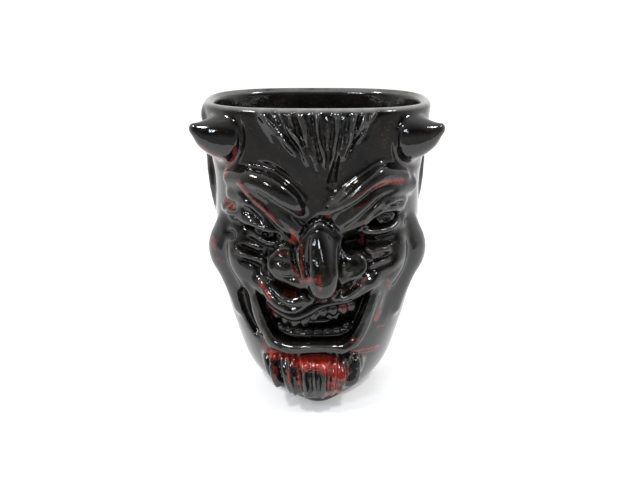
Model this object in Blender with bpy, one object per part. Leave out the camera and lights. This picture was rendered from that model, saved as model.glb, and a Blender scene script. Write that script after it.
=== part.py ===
"""A ceramic tiki mug in the shape of a horned devil's head, at rest on its foot.

The head is modelled in the order a potter works. A hollow vessel is lofted from its plan at a few
heights. Coils and pads of clay are laid on it for the horns, ears, brows, nose, cheeks, lips, hair
and goatee, and are smoothed into one skin. That skin is then sliced along its joints, so that each
clay element is a solid of its own, rooted a little way into the wall with a hairline seam around
it. The eyeballs, the teeth and the tongue are made apart and sit in their hollows.

Lengths are in millimetres until a mesh is made, and metres in the scene. +Z is up, the face looks
along -Y, and left and right are those of a person looking at the face: left is -X.
"""

import math

import bmesh
import bpy
from mathutils import Matrix, Vector

MM = 0.001
HEIGHT = 127.0
WALL_FLOOR = 6.0
SEAM = 0.3
SEAT_DEPTH = 1.5
MOUTH_DEPTH = 9.0
EYE_SLIT_DEPTH = 4.0
RIM_ROUND = 1.6

VOXEL = 2.1
SMOOTHING = 4
KEPT_SHARE = 0.10
RING_POINTS = 32
ROW_STEP = 12.0
OUT_OF_REACH = 90.0
FLAT_ANGLE = 3.0

# The plan at each height: height, half width, front, back, and how square the front and back are.
OUTER_PLANS = (
    (0.0, 24.5, 32.0, 27.0, 1.4, 2.3),
    (4.0, 28.2, 34.5, 29.0, 1.45, 2.3),
    (12.0, 32.2, 37.5, 31.0, 1.6, 2.3),
    (25.0, 35.8, 40.0, 33.0, 1.9, 2.4),
    (42.0, 40.3, 41.0, 34.5, 2.2, 2.4),
    (60.0, 43.6, 41.5, 35.5, 2.4, 2.4),
    (78.0, 44.0, 41.0, 36.0, 2.5, 2.5),
    (95.0, 44.0, 41.0, 36.5, 2.6, 2.5),
    (112.0, 46.5, 39.5, 37.0, 2.8, 2.6),
    (HEIGHT, 48.3, 37.0, 36.9, 3.0, 2.7),
)
INNER_PLANS = (
    (WALL_FLOOR, 20.0, 19.0, 20.0, 2.0, 2.2),
    (14.0, 26.5, 24.0, 25.5, 2.0, 2.3),
    (30.0, 31.5, 26.5, 28.0, 2.1, 2.4),
    (50.0, 36.5, 27.5, 30.0, 2.2, 2.4),
    (78.0, 38.5, 27.5, 31.0, 2.3, 2.5),
    (100.0, 40.0, 29.5, 31.8, 2.5, 2.5),
    (HEIGHT + 1.0, 44.0, 32.6, 32.6, 3.0, 2.7),
)

# Coils of clay on the face: (across, height, lift above the wall, radius) at each point.
FACE_COILS = {
    "left_brow": ((-33, 98, -2, 4), (-26, 99.5, 0, 6), (-16, 95, 1, 6.5), (-8, 90, 1.5, 6), (-2, 85, 0, 5)),
    "right_brow": ((35, 98, -2, 4), (27, 99.5, 0, 6), (17, 94, 1, 6.5), (9, 88, 1.5, 6), (3, 84, 0, 5)),
    "left_upper_eyelid": ((-32, 85, -1, 3), (-27, 86, 0.5, 3.5), (-21, 81.5, 1, 3), (-14, 77.5, 1, 2.5)),
    "left_lower_eyelid": ((-30, 76, 0, 3), (-25, 72.5, 0.5, 3), (-19, 70.5, 0.5, 3), (-14, 72, 0, 2.5)),
    "right_upper_eyelid": ((18, 81, 0, 2.5), (22, 87, 1, 3.2), (29, 89, 1, 3.2), (35, 86, 0, 3)),
    "right_lower_eyelid": ((18, 79, 0, 2.5), (24, 76, 0.5, 3), (30, 76, 0.5, 3), (35, 80, 0, 3)),
    "nose": ((0.5, 82, 0, 4), (1, 72, 4, 5), (1.5, 62, 8, 5.5), (2.5, 56, 9, 5.5)),
    "left_nostril": ((-15, 64, 1.5, 5.6), (-11, 64.5, 2, 6.5)),
    "right_nostril": ((12, 64, 2, 6.5), (15.6, 63.5, 1.5, 5.4)),
    "upper_lip": ((-27, 57, 0, 3), (-20, 53, 2, 4), (-10, 49.5, 3.5, 3.5), (1, 50, 3.5, 3),
                  (11, 51, 3.5, 3.5), (19, 55, 2, 4), (25, 57, 0, 3)),
    "lower_lip": ((-27, 52, 0, 2.6), (-25, 43, 1.5, 3), (-21.5, 34, 2, 3.2), (-14, 28.2, 2.5, 3.4),
                  (-1, 28.6, 3.5, 3.4), (11, 27.6, 2.5, 3.4), (18, 34, 2, 3.2), (21.5, 43, 1.5, 3),
                  (24.5, 51, 0, 2.6)),
    "goatee": ((-16, 19, -2, 7), (-8, 16, -1, 8), (1, 15, -0.5, 9), (9, 16, -1, 8), (14, 19, -1.5, 6.5)),
    "chin": ((-5, 8, -4, 6), (1, 7, -4, 6.5), (7, 8, -4, 6)),
}
# The locks of the widow's peak: (across, height) at the rim and where the lock ends.
HAIR_LOCKS = (
    ((-19, 121), (-10, 109)),
    ((-13, 122), (-5, 106)),
    ((-6.5, 122), (-2, 103)),
    ((0, 122), (2, 101)),
    ((6.5, 122), (5, 100)),
    ((13, 122), (8, 104)),
    ((20, 121), (12, 109)),
)
HAIR_LOCK_RADII = (2.8, 1.6)

# Masses placed in space: (x, y, z, radius) at each point, for the right-hand side of the head.
HORN = ((27, -21, 113, 11), (34, -25, 114.2, 10.8), (40, -28, 115.2, 9.4), (44.6, -30, 116.4, 7.0),
        (47.6, -31, 117.6, 4.6), (49.9, -31.5, 118.6, 2.6))
CHEEK = ((34, -19, 72, 11.0), (36.5, -18, 62, 10.5), (31, -23, 56, 8.5))
EAR_CENTRE, EAR_HALF_SIZES, EAR_LEAN = (44.6, 7.5, 90.5), (4.2, 9.4, 13.0), 14.0

# Outlines, seen from the front, along which each element is sliced from the head.
OUTLINES = {
    "left_cheek": ((-44, 84), (-37, 82), (-31, 75), (-24, 69), (-22, 63), (-27, 59.5), (-36, 52), (-50, 50),
                   (-52, 70)),
    "right_cheek": ((44, 83), (50, 70), (50, 50), (36, 52), (27, 60), (22, 64), (25, 71), (36, 74), (38, 80)),
    "hair_peak": ((-23, 124), (-13, 108), (-3, 99), (4, 96), (10, 103), (23, 124)),
    "nose": ((0.5, 83.6), (-5.5, 75.5), (-5.2, 62), (-3.6, 54), (3, 48.4), (8.6, 53.6), (8.5, 64), (8, 75.5)),
    "left_nostril": ((-19, 64), (-16, 72), (-9, 72), (-6.5, 65), (-5.5, 58), (-13, 56.5)),
    "right_nostril": ((20, 64), (17, 56.5), (10.2, 57), (9.4, 64), (10, 71), (17, 71)),
    "goatee": ((-21.5, 25), (-9, 24.4), (0, 25.2), (8, 24.2), (18, 23.6), (18.6, 15), (11.4, 7.4), (1, 4.6),
               (-9.4, 6.2), (-18.4, 13.6)),
    "left_horn": ((-60, 126), (-38, 125), (-30, 121), (-28.5, 110), (-33, 102), (-44, 99), (-60, 101)),
    "right_horn": ((60, 126), (60, 101), (44, 99), (33, 102), (28.5, 110), (30, 121), (38, 125)),
}
# Coil-shaped elements are sliced along a band of this half width around their coil instead.
BANDS = {
    "left_brow": 6.6,
    "right_brow": 6.6,
    "left_upper_eyelid": 3.4,
    "left_lower_eyelid": 3.0,
    "right_upper_eyelid": 3.2,
    "right_lower_eyelid": 3.0,
    "upper_lip": 3.6,
    "lower_lip": 3.2,
}
# An element gives way to each one after it where their outlines cross.
LAYING_ORDER = (
    "left_cheek", "right_cheek", "hair_peak", "left_brow", "right_brow",
    "left_lower_eyelid", "right_lower_eyelid", "left_upper_eyelid", "right_upper_eyelid",
    "upper_lip", "left_nostril", "right_nostril", "nose", "goatee", "lower_lip",
    "left_horn", "right_horn",
)
HORN_BACK = -6.0
CHEEK_BACK = -2.0

MOUTH = ((-24, 52), (-20, 49.5), (-10, 46), (1, 46.5), (11, 47.2), (18, 50.5), (21, 50), (18.5, 42),
         (15, 34.5), (10, 31), (-1, 31.6), (-13, 31), (-18.5, 35), (-22, 43))
LEFT_EYE, LEFT_EYE_SLIT = (-20.5, 76.6), ((-28, 79), (-22, 79), (-14, 75.2), (-19, 74.2))
RIGHT_EYE, RIGHT_EYE_SLIT = (26.5, 82.6), ((20.5, 81.6), (25, 85.6), (30, 85.4), (31.5, 82.5), (26, 79.4))
EYEBALL_RADIUS, EYEBALL_SINK = 6.0, 6.4

UPPER_TEETH = ((-17.5, 45), (-13.5, 43.6), (-9.5, 42.8), (-5, 42.8), (0, 43), (5, 42.6), (9.5, 43),
               (13.5, 44.5))
LOWER_TEETH = ((-14.5, 35), (-10.5, 34.4), (-6.5, 34.2), (-2.5, 34.2), (1.5, 34.2), (5.5, 34.2), (9.5, 34.6))
TOOTH_SIZE, TEETH_SINK = (3.5, 4.2, 5.2), 6.6
GUM_RADIUS = 1.7
TONGUE_CENTRE, TONGUE_HALF_SIZES, TONGUE_SINK = (-2.0, 38.6), (7.0, 1.9, 1.3), 6.2

BLACK_GLAZE = ((0.012, 0.012, 0.014, 1.0), 0.08)
RED_GLAZE = ((0.35, 0.03, 0.02, 1.0), 0.1)


def between(rows, height):
    """The row of numbers at this height, on a straight line between the rows that are given."""
    if height <= rows[0][0]:
        return rows[0]
    for low, high in zip(rows, rows[1:]):
        if height <= high[0]:
            share = (height - low[0]) / (high[0] - low[0])
            return [a + (b - a) * share for a, b in zip(low, high)]
    return rows[-1]


def wall_front(across, height, offset=0.0):
    """How far the vessel's wall stands in front of the Y axis there, as a negative Y."""
    _, half, front, _, square, _ = between(OUTER_PLANS, height)
    share = min(abs(across) / (half + offset), 0.98)
    return -(front + offset) * (1 - share**square) ** (1 / square)


def on_face(across, height, lift):
    return Vector((across, wall_front(across, height) - lift, height))


def smooth_loop(points, steps=3, closed=True):
    """A Catmull-Rom curve through the points, in any number of dimensions."""
    count = len(points)
    found = []
    for i in range(count if closed else count - 1):
        if closed:
            p = [points[(i + k) % count] for k in (-1, 0, 1, 2)]
        else:
            p = [points[min(max(i + k, 0), count - 1)] for k in (-1, 0, 1, 2)]
        for step in range(steps):
            t = step / steps
            found.append(tuple(
                0.5 * (2 * b + (c - a) * t + (2 * a - 5 * b + 4 * c - d) * t**2
                       + (3 * b - a - 3 * c + d) * t**3)
                for a, b, c, d in zip(*p)
            ))
    if not closed:
        found.append(tuple(points[-1]))
    return found


def object_from(name, bm):
    """An object from a mesh in millimetres, with its faces turned outwards."""
    bmesh.ops.recalc_face_normals(bm, faces=bm.faces)
    bmesh.ops.scale(bm, vec=(MM, MM, MM), verts=bm.verts)
    mesh = bpy.data.meshes.new(name)
    bm.to_mesh(mesh)
    bm.free()
    obj = bpy.data.objects.new(name, mesh)
    bpy.context.scene.collection.objects.link(obj)
    return obj


def helper(obj):
    obj.hide_render = True
    obj.display_type = "WIRE"
    return obj


def plan_ring(bm, height, row, offset):
    """One ring of vertices: a superellipse with its own depth in front and behind."""
    _, half, front, back, front_square, back_square = row
    ring = []
    for i in range(RING_POINTS):
        angle = 2 * math.pi * i / RING_POINTS
        c, s = math.cos(angle), math.sin(angle)
        square = front_square if s < 0 else back_square
        depth = (front if s < 0 else back) + offset
        x = math.copysign(abs(c) ** (2 / square), c) * (half + offset)
        y = math.copysign(abs(s) ** (2 / square), s) * depth
        ring.append(bm.verts.new((x, y, height)))
    return ring


def loft(name, plans, offset=0.0, top_round=0.0, low=None):
    """A closed solid through the plans, each grown by offset, with its top edge rounded over."""
    bm = bmesh.new()
    low = plans[0][0] if low is None else low
    high = plans[-1][0]
    rows = max(2, round((high - top_round - low) / ROW_STEP))
    stations = [(low + (high - top_round - low) * i / rows, offset) for i in range(rows + 1)]
    for angle in (45, 90) if top_round else ():
        turn = math.radians(angle)
        stations.append((
            high - top_round * (1 - math.sin(turn)),
            offset - top_round * (1 - math.cos(turn)),
        ))
    rings = [plan_ring(bm, z, between(plans, z), grow) for z, grow in stations]
    for below, above in zip(rings, rings[1:]):
        for i in range(RING_POINTS):
            j = (i + 1) % RING_POINTS
            bm.faces.new((below[i], below[j], above[j], above[i]))
    bm.faces.new(rings[0][::-1])
    bm.faces.new(rings[-1])
    return object_from(name, bm)


def coil(name, points):
    """A round coil of clay of changing radius, as a bevelled curve. Points are (x, y, z, radius)."""
    curve = bpy.data.curves.new(name, "CURVE")
    curve.dimensions = "3D"
    curve.bevel_depth = MM
    curve.bevel_resolution = 2
    curve.use_fill_caps = True
    spline = curve.splines.new("POLY")
    path = smooth_loop(points, closed=False)
    spline.points.add(len(path) - 1)
    for knot, (x, y, z, radius) in zip(spline.points, path):
        knot.co = (x * MM, y * MM, z * MM, 1.0)
        knot.radius = radius
    obj = bpy.data.objects.new(name, curve)
    bpy.context.scene.collection.objects.link(obj)
    for knot, tip in ((points[0], "start"), (points[-1], "end")):
        ball(f"{name}_{tip}", knot[:3], (knot[3],) * 3)
    return obj


def ball(name, centre, half_sizes, turn=0.0, segments=12):
    """An ellipsoid, turned about X by some degrees."""
    bm = bmesh.new()
    bmesh.ops.create_uvsphere(bm, u_segments=segments, v_segments=segments * 2 // 3, radius=1.0)
    turned = Matrix.Rotation(math.radians(turn), 4, "X")
    place = Matrix.Translation(centre) @ turned @ Matrix.Diagonal((*half_sizes, 1))
    bmesh.ops.transform(bm, matrix=place, verts=bm.verts)
    return object_from(name, bm)


def face_coil(name, points):
    return coil(name, [(*on_face(x, z, lift), radius) for x, z, lift, radius in points])


def mirrored(points):
    return [(-x, *rest) for x, *rest in points]


def lay_the_clay():
    """Every coil and pad that is pressed onto the vessel, as overlapping solids."""
    for name, points in FACE_COILS.items():
        face_coil(f"{name}_coil", points)
    for number, ((top_x, top_z), (end_x, end_z)) in enumerate(HAIR_LOCKS):
        middle = ((top_x + end_x) / 2, (top_z + end_z) / 2 + 1)
        thick, thin = HAIR_LOCK_RADII
        points = ((top_x, top_z, 0, thick), (*middle, 0.5, thick), (end_x, end_z, 0, thin))
        face_coil(f"hair_lock_{number}", points)
    coil("right_horn_coil", HORN)
    coil("left_horn_coil", mirrored(HORN))
    coil("right_cheek_coil", CHEEK)
    coil("left_cheek_coil", mirrored(CHEEK))
    x, y, z = EAR_CENTRE
    ball("right_ear_pad", (x, y, z), EAR_HALF_SIZES, EAR_LEAN)
    ball("left_ear_pad", (-x, y, z), EAR_HALF_SIZES, EAR_LEAN)


def evaluated_mesh(obj):
    bpy.context.view_layer.update()
    return bpy.data.meshes.new_from_object(obj.evaluated_get(bpy.context.evaluated_depsgraph_get()))


def joined_head():
    """The vessel and all its clay as one mesh, smoothed together and thinned out."""
    loft("vessel", OUTER_PLANS, top_round=RIM_ROUND)
    lay_the_clay()
    gathered = bmesh.new()
    for obj in list(bpy.data.objects):
        gathered.from_mesh(evaluated_mesh(obj))
        bpy.data.objects.remove(obj)
    mesh = bpy.data.meshes.new("gathered")
    gathered.to_mesh(mesh)
    gathered.free()
    head = bpy.data.objects.new("head", mesh)
    bpy.context.scene.collection.objects.link(head)
    remesh = head.modifiers.new("one_skin", "REMESH")
    remesh.mode = "VOXEL"
    remesh.voxel_size = VOXEL * MM
    smooth = head.modifiers.new("sponge", "SMOOTH")
    smooth.factor = 0.5
    smooth.iterations = SMOOTHING
    thin = head.modifiers.new("thin_out", "DECIMATE")
    thin.ratio = KEPT_SHARE
    skin = evaluated_mesh(head)
    bpy.data.objects.remove(head)
    return skin


def grown(outline, by):
    """The outline moved outwards by a distance, or inwards if it is negative."""
    area = sum(a[0] * b[1] - b[0] * a[1] for a, b in zip(outline, outline[1:] + outline[:1]))
    by *= 1 if area > 0 else -1
    moved = []
    for i, (x, z) in enumerate(outline):
        before, after = outline[i - 1], outline[(i + 1) % len(outline)]
        along = Vector((after[0] - before[0], after[1] - before[1])).normalized()
        moved.append((x + along.y * by, z - along.x * by))
    return moved


def band(points, half_width, ends=3):
    """A closed outline that follows a coil at a distance, round at both ends."""
    path = smooth_loop([(x, z) for x, z, *_ in points], steps=2, closed=False)
    sides = ([], [])
    for i, (x, z) in enumerate(path):
        before, after = path[max(i - 1, 0)], path[min(i + 1, len(path) - 1)]
        along = Vector((after[0] - before[0], after[1] - before[1])).normalized()
        sides[0].append((x - along.y * half_width, z + along.x * half_width))
        sides[1].append((x + along.y * half_width, z - along.x * half_width))

    def cap(centre, start):
        offset = Vector(start) - Vector(centre)
        turns = [-math.pi * k / (ends + 1) for k in range(1, ends + 1)]
        return [tuple(Vector(centre) + Matrix.Rotation(t, 2) @ offset) for t in turns]

    return sides[0] + cap(path[-1], sides[0][-1]) + sides[1][::-1] + cap(path[0], sides[1][0])


def prism(name, outline, back=0.0, sideways=False):
    """The outline pushed through the head from the front to the Y given, or along X from a side."""
    bm = bmesh.new()
    if sideways:
        near = [bm.verts.new((sideways * OUT_OF_REACH, y, z)) for y, z in outline]
        far = [bm.verts.new((0.0, y, z)) for y, z in outline]
    else:
        near = [bm.verts.new((x, -OUT_OF_REACH, z)) for x, z in outline]
        far = [bm.verts.new((x, back, z)) for x, z in outline]
    for i in range(len(outline)):
        j = (i + 1) % len(outline)
        bm.faces.new((near[i], near[j], far[j], far[i]))
    bm.faces.new(near[::-1])
    bm.faces.new(far)
    bmesh.ops.triangulate(bm, faces=bm.faces)
    return helper(object_from(name, bm))


def boolean(obj, operation, other):
    """The exact solver drops pieces whose seats share one surface, so these use the manifold one."""
    modifier = obj.modifiers.new(other.name, "BOOLEAN")
    modifier.operation = operation
    modifier.object = other
    modifier.solver = "MANIFOLD"


def outline_of(name):
    if name in BANDS:
        return band(FACE_COILS[name], BANDS[name])
    return smooth_loop(OUTLINES[name])


def back_of(name):
    if name.endswith("horn"):
        return HORN_BACK
    return CHEEK_BACK if name.endswith("cheek") else -12.0


def slug(name, core, by):
    """The block of space that an element fills: its outline pushed in as far as its seat."""
    block = prism(f"{name}_block", grown(outline_of(name), by), back_of(name))
    boolean(block, "DIFFERENCE", core)
    return block


def ear_slug(name, core, by):
    side = -1 if name.startswith("left") else 1
    _, y, z = EAR_CENTRE
    _, deep, tall = EAR_HALF_SIZES
    oval = [(y + (deep + 1) * math.cos(math.radians(a)), z + (tall + 1) * math.sin(math.radians(a)))
            for a in range(0, 360, 20)]
    lean = Matrix.Rotation(math.radians(EAR_LEAN), 2)
    oval = [tuple(Vector((y, z)) + lean @ (Vector(p) - Vector((y, z)))) for p in oval]
    block = prism(f"{name}_block", grown(oval, by), sideways=side)
    boolean(block, "DIFFERENCE", core)
    return block


def applied(mesh):
    """The mesh as an object, ready to be sliced."""
    obj = bpy.data.objects.new("piece", mesh.copy())
    bpy.context.scene.collection.objects.link(obj)
    return obj


def hollow_out(mesh):
    """The head with its mouth and its eye sockets cut into the thick front wall."""
    head = applied(mesh)
    mouth_floor = helper(loft("mouth_floor", OUTER_PLANS, -MOUTH_DEPTH))
    mouth = prism("mouth_block", smooth_loop(MOUTH), -12.0)
    boolean(mouth, "DIFFERENCE", mouth_floor)
    boolean(head, "DIFFERENCE", mouth)
    slit_floor = helper(loft("slit_floor", OUTER_PLANS, -EYE_SLIT_DEPTH))
    for side, (x, z), slit in (("left", LEFT_EYE, LEFT_EYE_SLIT), ("right", RIGHT_EYE, RIGHT_EYE_SLIT)):
        socket = helper(ball(f"{side}_socket", on_face(x, z, -EYEBALL_SINK), (EYEBALL_RADIUS + SEAM,) * 3))
        opening = prism(f"{side}_eye_slit", smooth_loop(slit), -12.0)
        boolean(opening, "DIFFERENCE", slit_floor)
        boolean(head, "DIFFERENCE", socket)
        boolean(head, "DIFFERENCE", opening)
    cut = evaluated_mesh(head)
    bpy.data.objects.remove(head)
    return cut


def glaze(obj, colours):
    colour, roughness = colours
    material = bpy.data.materials.new(f"{obj.name}_glaze")
    material.use_nodes = True
    shader = material.node_tree.nodes["Principled BSDF"]
    shader.inputs["Base Color"].default_value = colour
    shader.inputs["Roughness"].default_value = roughness
    shader.inputs["Metallic"].default_value = 0.0
    obj.data.materials.clear()
    obj.data.materials.append(material)


def overlap(a, b):
    """Whether two objects' boxes meet, seen from the front."""
    def box(obj):
        corners = [v.co for v in obj.data.vertices]
        return [(min(c[k] for c in corners), max(c[k] for c in corners)) for k in (0, 2)]

    return all(la < hb and lb < ha for (la, ha), (lb, hb) in zip(box(a), box(b)))


def slice_elements(head_mesh):
    """One object for each element that is cut from the head, and what the vessel loses to them."""
    inner_core = helper(loft("core_for_vessel", OUTER_PLANS, -SEAT_DEPTH - SEAM / 2))
    outer_core = helper(loft("core_for_elements", OUTER_PLANS, -SEAT_DEPTH + SEAM / 2))
    wide = {name: slug(name, inner_core, SEAM / 2) for name in LAYING_ORDER}
    tight = {name: slug(name, outer_core, -SEAM / 2) for name in LAYING_ORDER}
    for name in ("left_ear", "right_ear"):
        wide[name] = ear_slug(name, inner_core, SEAM / 2)
        tight[name] = ear_slug(name, outer_core, -SEAM / 2)
    for name in wide:
        piece = applied(head_mesh)
        piece.name = name
        boolean(piece, "INTERSECT", tight[name])
        later = LAYING_ORDER[LAYING_ORDER.index(name) + 1:] if name in LAYING_ORDER else ()
        for other in later:
            if overlap(tight[name], wide[other]):
                boolean(piece, "DIFFERENCE", wide[other])
        glaze(piece, RED_GLAZE if name == "goatee" else BLACK_GLAZE)
    return list(wide.values())


def largest_body(mesh):
    """The mesh less the crumbs that are left where three outlines meet."""
    bm = bmesh.new()
    bm.from_mesh(mesh)
    bodies = []
    waiting = set(bm.verts)
    while waiting:
        body, edge_of_body = set(), [waiting.pop()]
        while edge_of_body:
            vert = edge_of_body.pop()
            body.add(vert)
            for edge in vert.link_edges:
                other = edge.other_vert(vert)
                if other in waiting:
                    waiting.remove(other)
                    edge_of_body.append(other)
        bodies.append(body)
    bodies.sort(key=len)
    for body in bodies[:-1]:
        bmesh.ops.delete(bm, geom=list(body), context="VERTS")
    bm.to_mesh(mesh)
    bm.free()
    return mesh


def settled(obj):
    """The object with its modifiers worked in, and nothing left loose."""
    mesh = largest_body(evaluated_mesh(obj))
    obj.modifiers.clear()
    obj.data = mesh
    return obj


def make_vessel(head_mesh, slugs):
    """The mug's own body: the head less its elements, hollow inside and cut flat below."""
    body = applied(head_mesh)
    body.name = "mug_body"
    for block in slugs:
        boolean(body, "DIFFERENCE", block)
    boolean(body, "DIFFERENCE", helper(loft("hollow", INNER_PLANS)))
    bottom = prism("below_the_table", [(-60, -20), (60, -20), (60, 0), (-60, 0)], 60.0)
    boolean(body, "DIFFERENCE", bottom)
    flat = settled(body).modifiers.new("merge_flat_faces", "DECIMATE")
    flat.decimate_type = "DISSOLVE"
    flat.angle_limit = math.radians(FLAT_ANGLE)
    settled(body)
    glaze(body, BLACK_GLAZE)


def make_eyeballs():
    for side, (x, z) in (("left", LEFT_EYE), ("right", RIGHT_EYE)):
        eyeball = ball(f"{side}_eyeball", on_face(x, z, -EYEBALL_SINK), (EYEBALL_RADIUS,) * 3)
        eyeball.data.shade_smooth()
        glaze(eyeball, BLACK_GLAZE)


def make_teeth(name, places, gum_side):
    """A row of teeth on one strip of gum, in the mouth's arc."""
    across, deep, tall = TOOTH_SIZE
    bm = bmesh.new()
    for x, z in places:
        place = Matrix.Translation(on_face(x, z, -TEETH_SINK)) @ Matrix.Diagonal((across, deep, tall, 1))
        bmesh.ops.create_cube(bm, size=1.0, matrix=place)
    bmesh.ops.bevel(bm, geom=bm.edges[:], offset=0.7, segments=1, affect="EDGES")
    row = object_from(name, bm)
    gum = coil(f"{name}_gum", [(*on_face(x, z + gum_side * (tall / 2 - GUM_RADIUS), -TEETH_SINK), GUM_RADIUS)
                               for x, z in places])
    strip = bpy.data.objects.new(f"{name}_strip", evaluated_mesh(gum))
    for part in [o for o in bpy.data.objects if o.name.startswith(f"{name}_gum")]:
        bpy.data.objects.remove(part)
    bpy.context.scene.collection.objects.link(helper(strip))
    row.modifiers.new("one_row", "BOOLEAN").operation = "UNION"
    row.modifiers["one_row"].object = strip
    row.modifiers["one_row"].use_self = True
    glaze(row, BLACK_GLAZE)


def make_tongue():
    x, z = TONGUE_CENTRE
    tongue = ball("tongue", on_face(x, z, -TONGUE_SINK), TONGUE_HALF_SIZES)
    tongue.data.shade_smooth()
    glaze(tongue, BLACK_GLAZE)


def main():
    for obj in list(bpy.data.objects):
        bpy.data.objects.remove(obj)
    head_mesh = hollow_out(joined_head())
    slugs = slice_elements(head_mesh)
    make_vessel(head_mesh, slugs)
    make_eyeballs()
    make_teeth("upper_teeth", UPPER_TEETH, 1)
    make_teeth("lower_teeth", LOWER_TEETH, -1)
    make_tongue()


main()
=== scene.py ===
"""A black-glazed tiki mug in the shape of a horned devil's head, worked up in clay over its frame."""
import math

import bpy
import numpy as np
from mathutils import Matrix, Vector
from mathutils.kdtree import KDTree


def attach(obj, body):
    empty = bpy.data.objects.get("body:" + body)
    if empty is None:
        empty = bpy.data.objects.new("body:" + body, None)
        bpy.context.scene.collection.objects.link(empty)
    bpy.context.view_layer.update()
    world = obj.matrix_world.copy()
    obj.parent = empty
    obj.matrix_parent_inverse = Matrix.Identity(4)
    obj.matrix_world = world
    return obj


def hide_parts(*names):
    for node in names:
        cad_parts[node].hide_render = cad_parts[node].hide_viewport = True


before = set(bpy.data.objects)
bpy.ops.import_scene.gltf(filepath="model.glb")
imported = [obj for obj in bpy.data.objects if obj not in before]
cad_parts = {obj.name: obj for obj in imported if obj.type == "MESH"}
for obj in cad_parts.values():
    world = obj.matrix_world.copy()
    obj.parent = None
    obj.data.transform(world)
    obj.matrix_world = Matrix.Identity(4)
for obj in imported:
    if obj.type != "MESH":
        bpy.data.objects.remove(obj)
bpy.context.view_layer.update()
scene = bpy.context.scene
MM = 0.001


# ---------------------------------------------------------------------------------------------
# The table and the light. White paper that glows a little, in a tent that is white behind and
# dark in front. Two small lamps and two window panes, high in front, give hard glints.
# ---------------------------------------------------------------------------------------------
TABLE_SIZE = 6.0
TABLE_TOP_Z = -0.0003
TABLE_EDGE_Y = -0.21
PAPER_GLOW = 0.34
DIM_FLOOR_GLOW = 0.46
TENT_STRENGTH = 1.1
LAMP_AIM = (0, 0, 0.08)
WINDOW_AIM = (0, 0, 0.09)
WINDOW_BLUE = (0.82, 0.90, 1.0)


def new_node(tree, kind, **settings):
    """A node of a kind, such as Math, with its settings."""
    node = tree.nodes.new(f"ShaderNode{kind}")
    for key, value in settings.items():
        setattr(node, key, value)
    return node


def wired(tree, *pairs):
    """Joins each output to the input beside it."""
    for output, socket in pairs:
        tree.links.new(output, socket)


def shaded(node, low, low_colour, high, high_colour):
    """Sets the two ends of a colour ramp: a position and a colour for each."""
    ends = node.color_ramp.elements
    ends[0].position, ends[1].position = low, high
    ends[0].color = (*low_colour, 1.0)
    ends[1].color = (*high_colour, 1.0)


bpy.ops.object.select_all(action="DESELECT")
bpy.ops.mesh.primitive_plane_add(size=TABLE_SIZE, location=(0.0, 0.0, TABLE_TOP_Z))
table = bpy.context.object
table.name = "white_table"
paper = bpy.data.materials.new("white_paper")
paper.use_nodes = True
sheet = paper.node_tree
white = sheet.nodes["Principled BSDF"]
white.inputs["Base Color"].default_value = (0.80, 0.80, 0.80, 1.0)
white.inputs["Roughness"].default_value = 0.7
white.inputs["Emission Color"].default_value = (1.0, 1.0, 1.0, 1.0)
white.inputs["Emission Strength"].default_value = PAPER_GLOW
# The camera sees the whole table. The glaze mirrors one that ends in front of the mug, and a dim
# floor past its edge.
dim_floor = new_node(sheet, "Emission")
dim_floor.inputs["Strength"].default_value = DIM_FLOOR_GLOW
spot = new_node(sheet, "TexCoord")
spot_axes = new_node(sheet, "SeparateXYZ")
past_edge = new_node(sheet, "Math", operation="LESS_THAN")
past_edge.inputs[1].default_value = TABLE_EDGE_Y
seen = new_node(sheet, "LightPath")
mirrored = new_node(sheet, "Math", operation="SUBTRACT", use_clamp=True)
either = new_node(sheet, "MixShader")
wired(sheet,
      (spot.outputs["Object"], spot_axes.inputs["Vector"]),
      (spot_axes.outputs["Y"], past_edge.inputs[0]),
      (past_edge.outputs["Value"], mirrored.inputs[0]),
      (seen.outputs["Is Camera Ray"], mirrored.inputs[1]),
      (mirrored.outputs["Value"], either.inputs["Fac"]),
      (white.outputs["BSDF"], either.inputs[1]),
      (dim_floor.outputs["Emission"], either.inputs[2]),
      (either.outputs["Shader"], sheet.nodes["Material Output"].inputs["Surface"]))
table.data.materials.append(paper)

# The tent is white behind the mug and dark in front, in a room that is grey low down and dark
# above. The camera sees plain white behind the table.
tent = bpy.data.worlds.new("white_tent")
scene.world = tent
tent.use_nodes = True
cloth = tent.node_tree
sky = cloth.nodes["Background"]
sky.inputs["Strength"].default_value = TENT_STRENGTH
facing = new_node(cloth, "TexCoord")
axes = new_node(cloth, "SeparateXYZ")
wired(cloth, (facing.outputs["Generated"], axes.inputs["Vector"]))
opening = new_node(cloth, "ValToRGB")
shaded(opening, 0.12, (0.035, 0.036, 0.040), 0.52, (1.0, 1.0, 1.0))
room = new_node(cloth, "ValToRGB")
shaded(room, 0.47, (0.42,) * 3, 0.68, (0.03,) * 3)
for axis, shade in (("Y", opening), ("Z", room)):
    shifted = new_node(cloth, "Math", operation="MULTIPLY_ADD")
    shifted.inputs[1].default_value = 0.5
    shifted.inputs[2].default_value = 0.5
    wired(cloth, (axes.outputs[axis], shifted.inputs[0]), (shifted.outputs["Value"], shade.inputs["Fac"]))
both = new_node(cloth, "Mix", data_type="RGBA", blend_type="LIGHTEN")
both.inputs["Factor"].default_value = 1.0
backdrop = new_node(cloth, "Mix", data_type="RGBA")
backdrop.inputs["B"].default_value = (1.0, 1.0, 1.0, 1.0)
straight = new_node(cloth, "LightPath")
wired(cloth,
      (opening.outputs["Color"], both.inputs["A"]),
      (room.outputs["Color"], both.inputs["B"]),
      (both.outputs["Result"], backdrop.inputs["A"]),
      (straight.outputs["Is Camera Ray"], backdrop.inputs["Factor"]),
      (backdrop.outputs["Result"], sky.inputs["Color"]))


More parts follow.
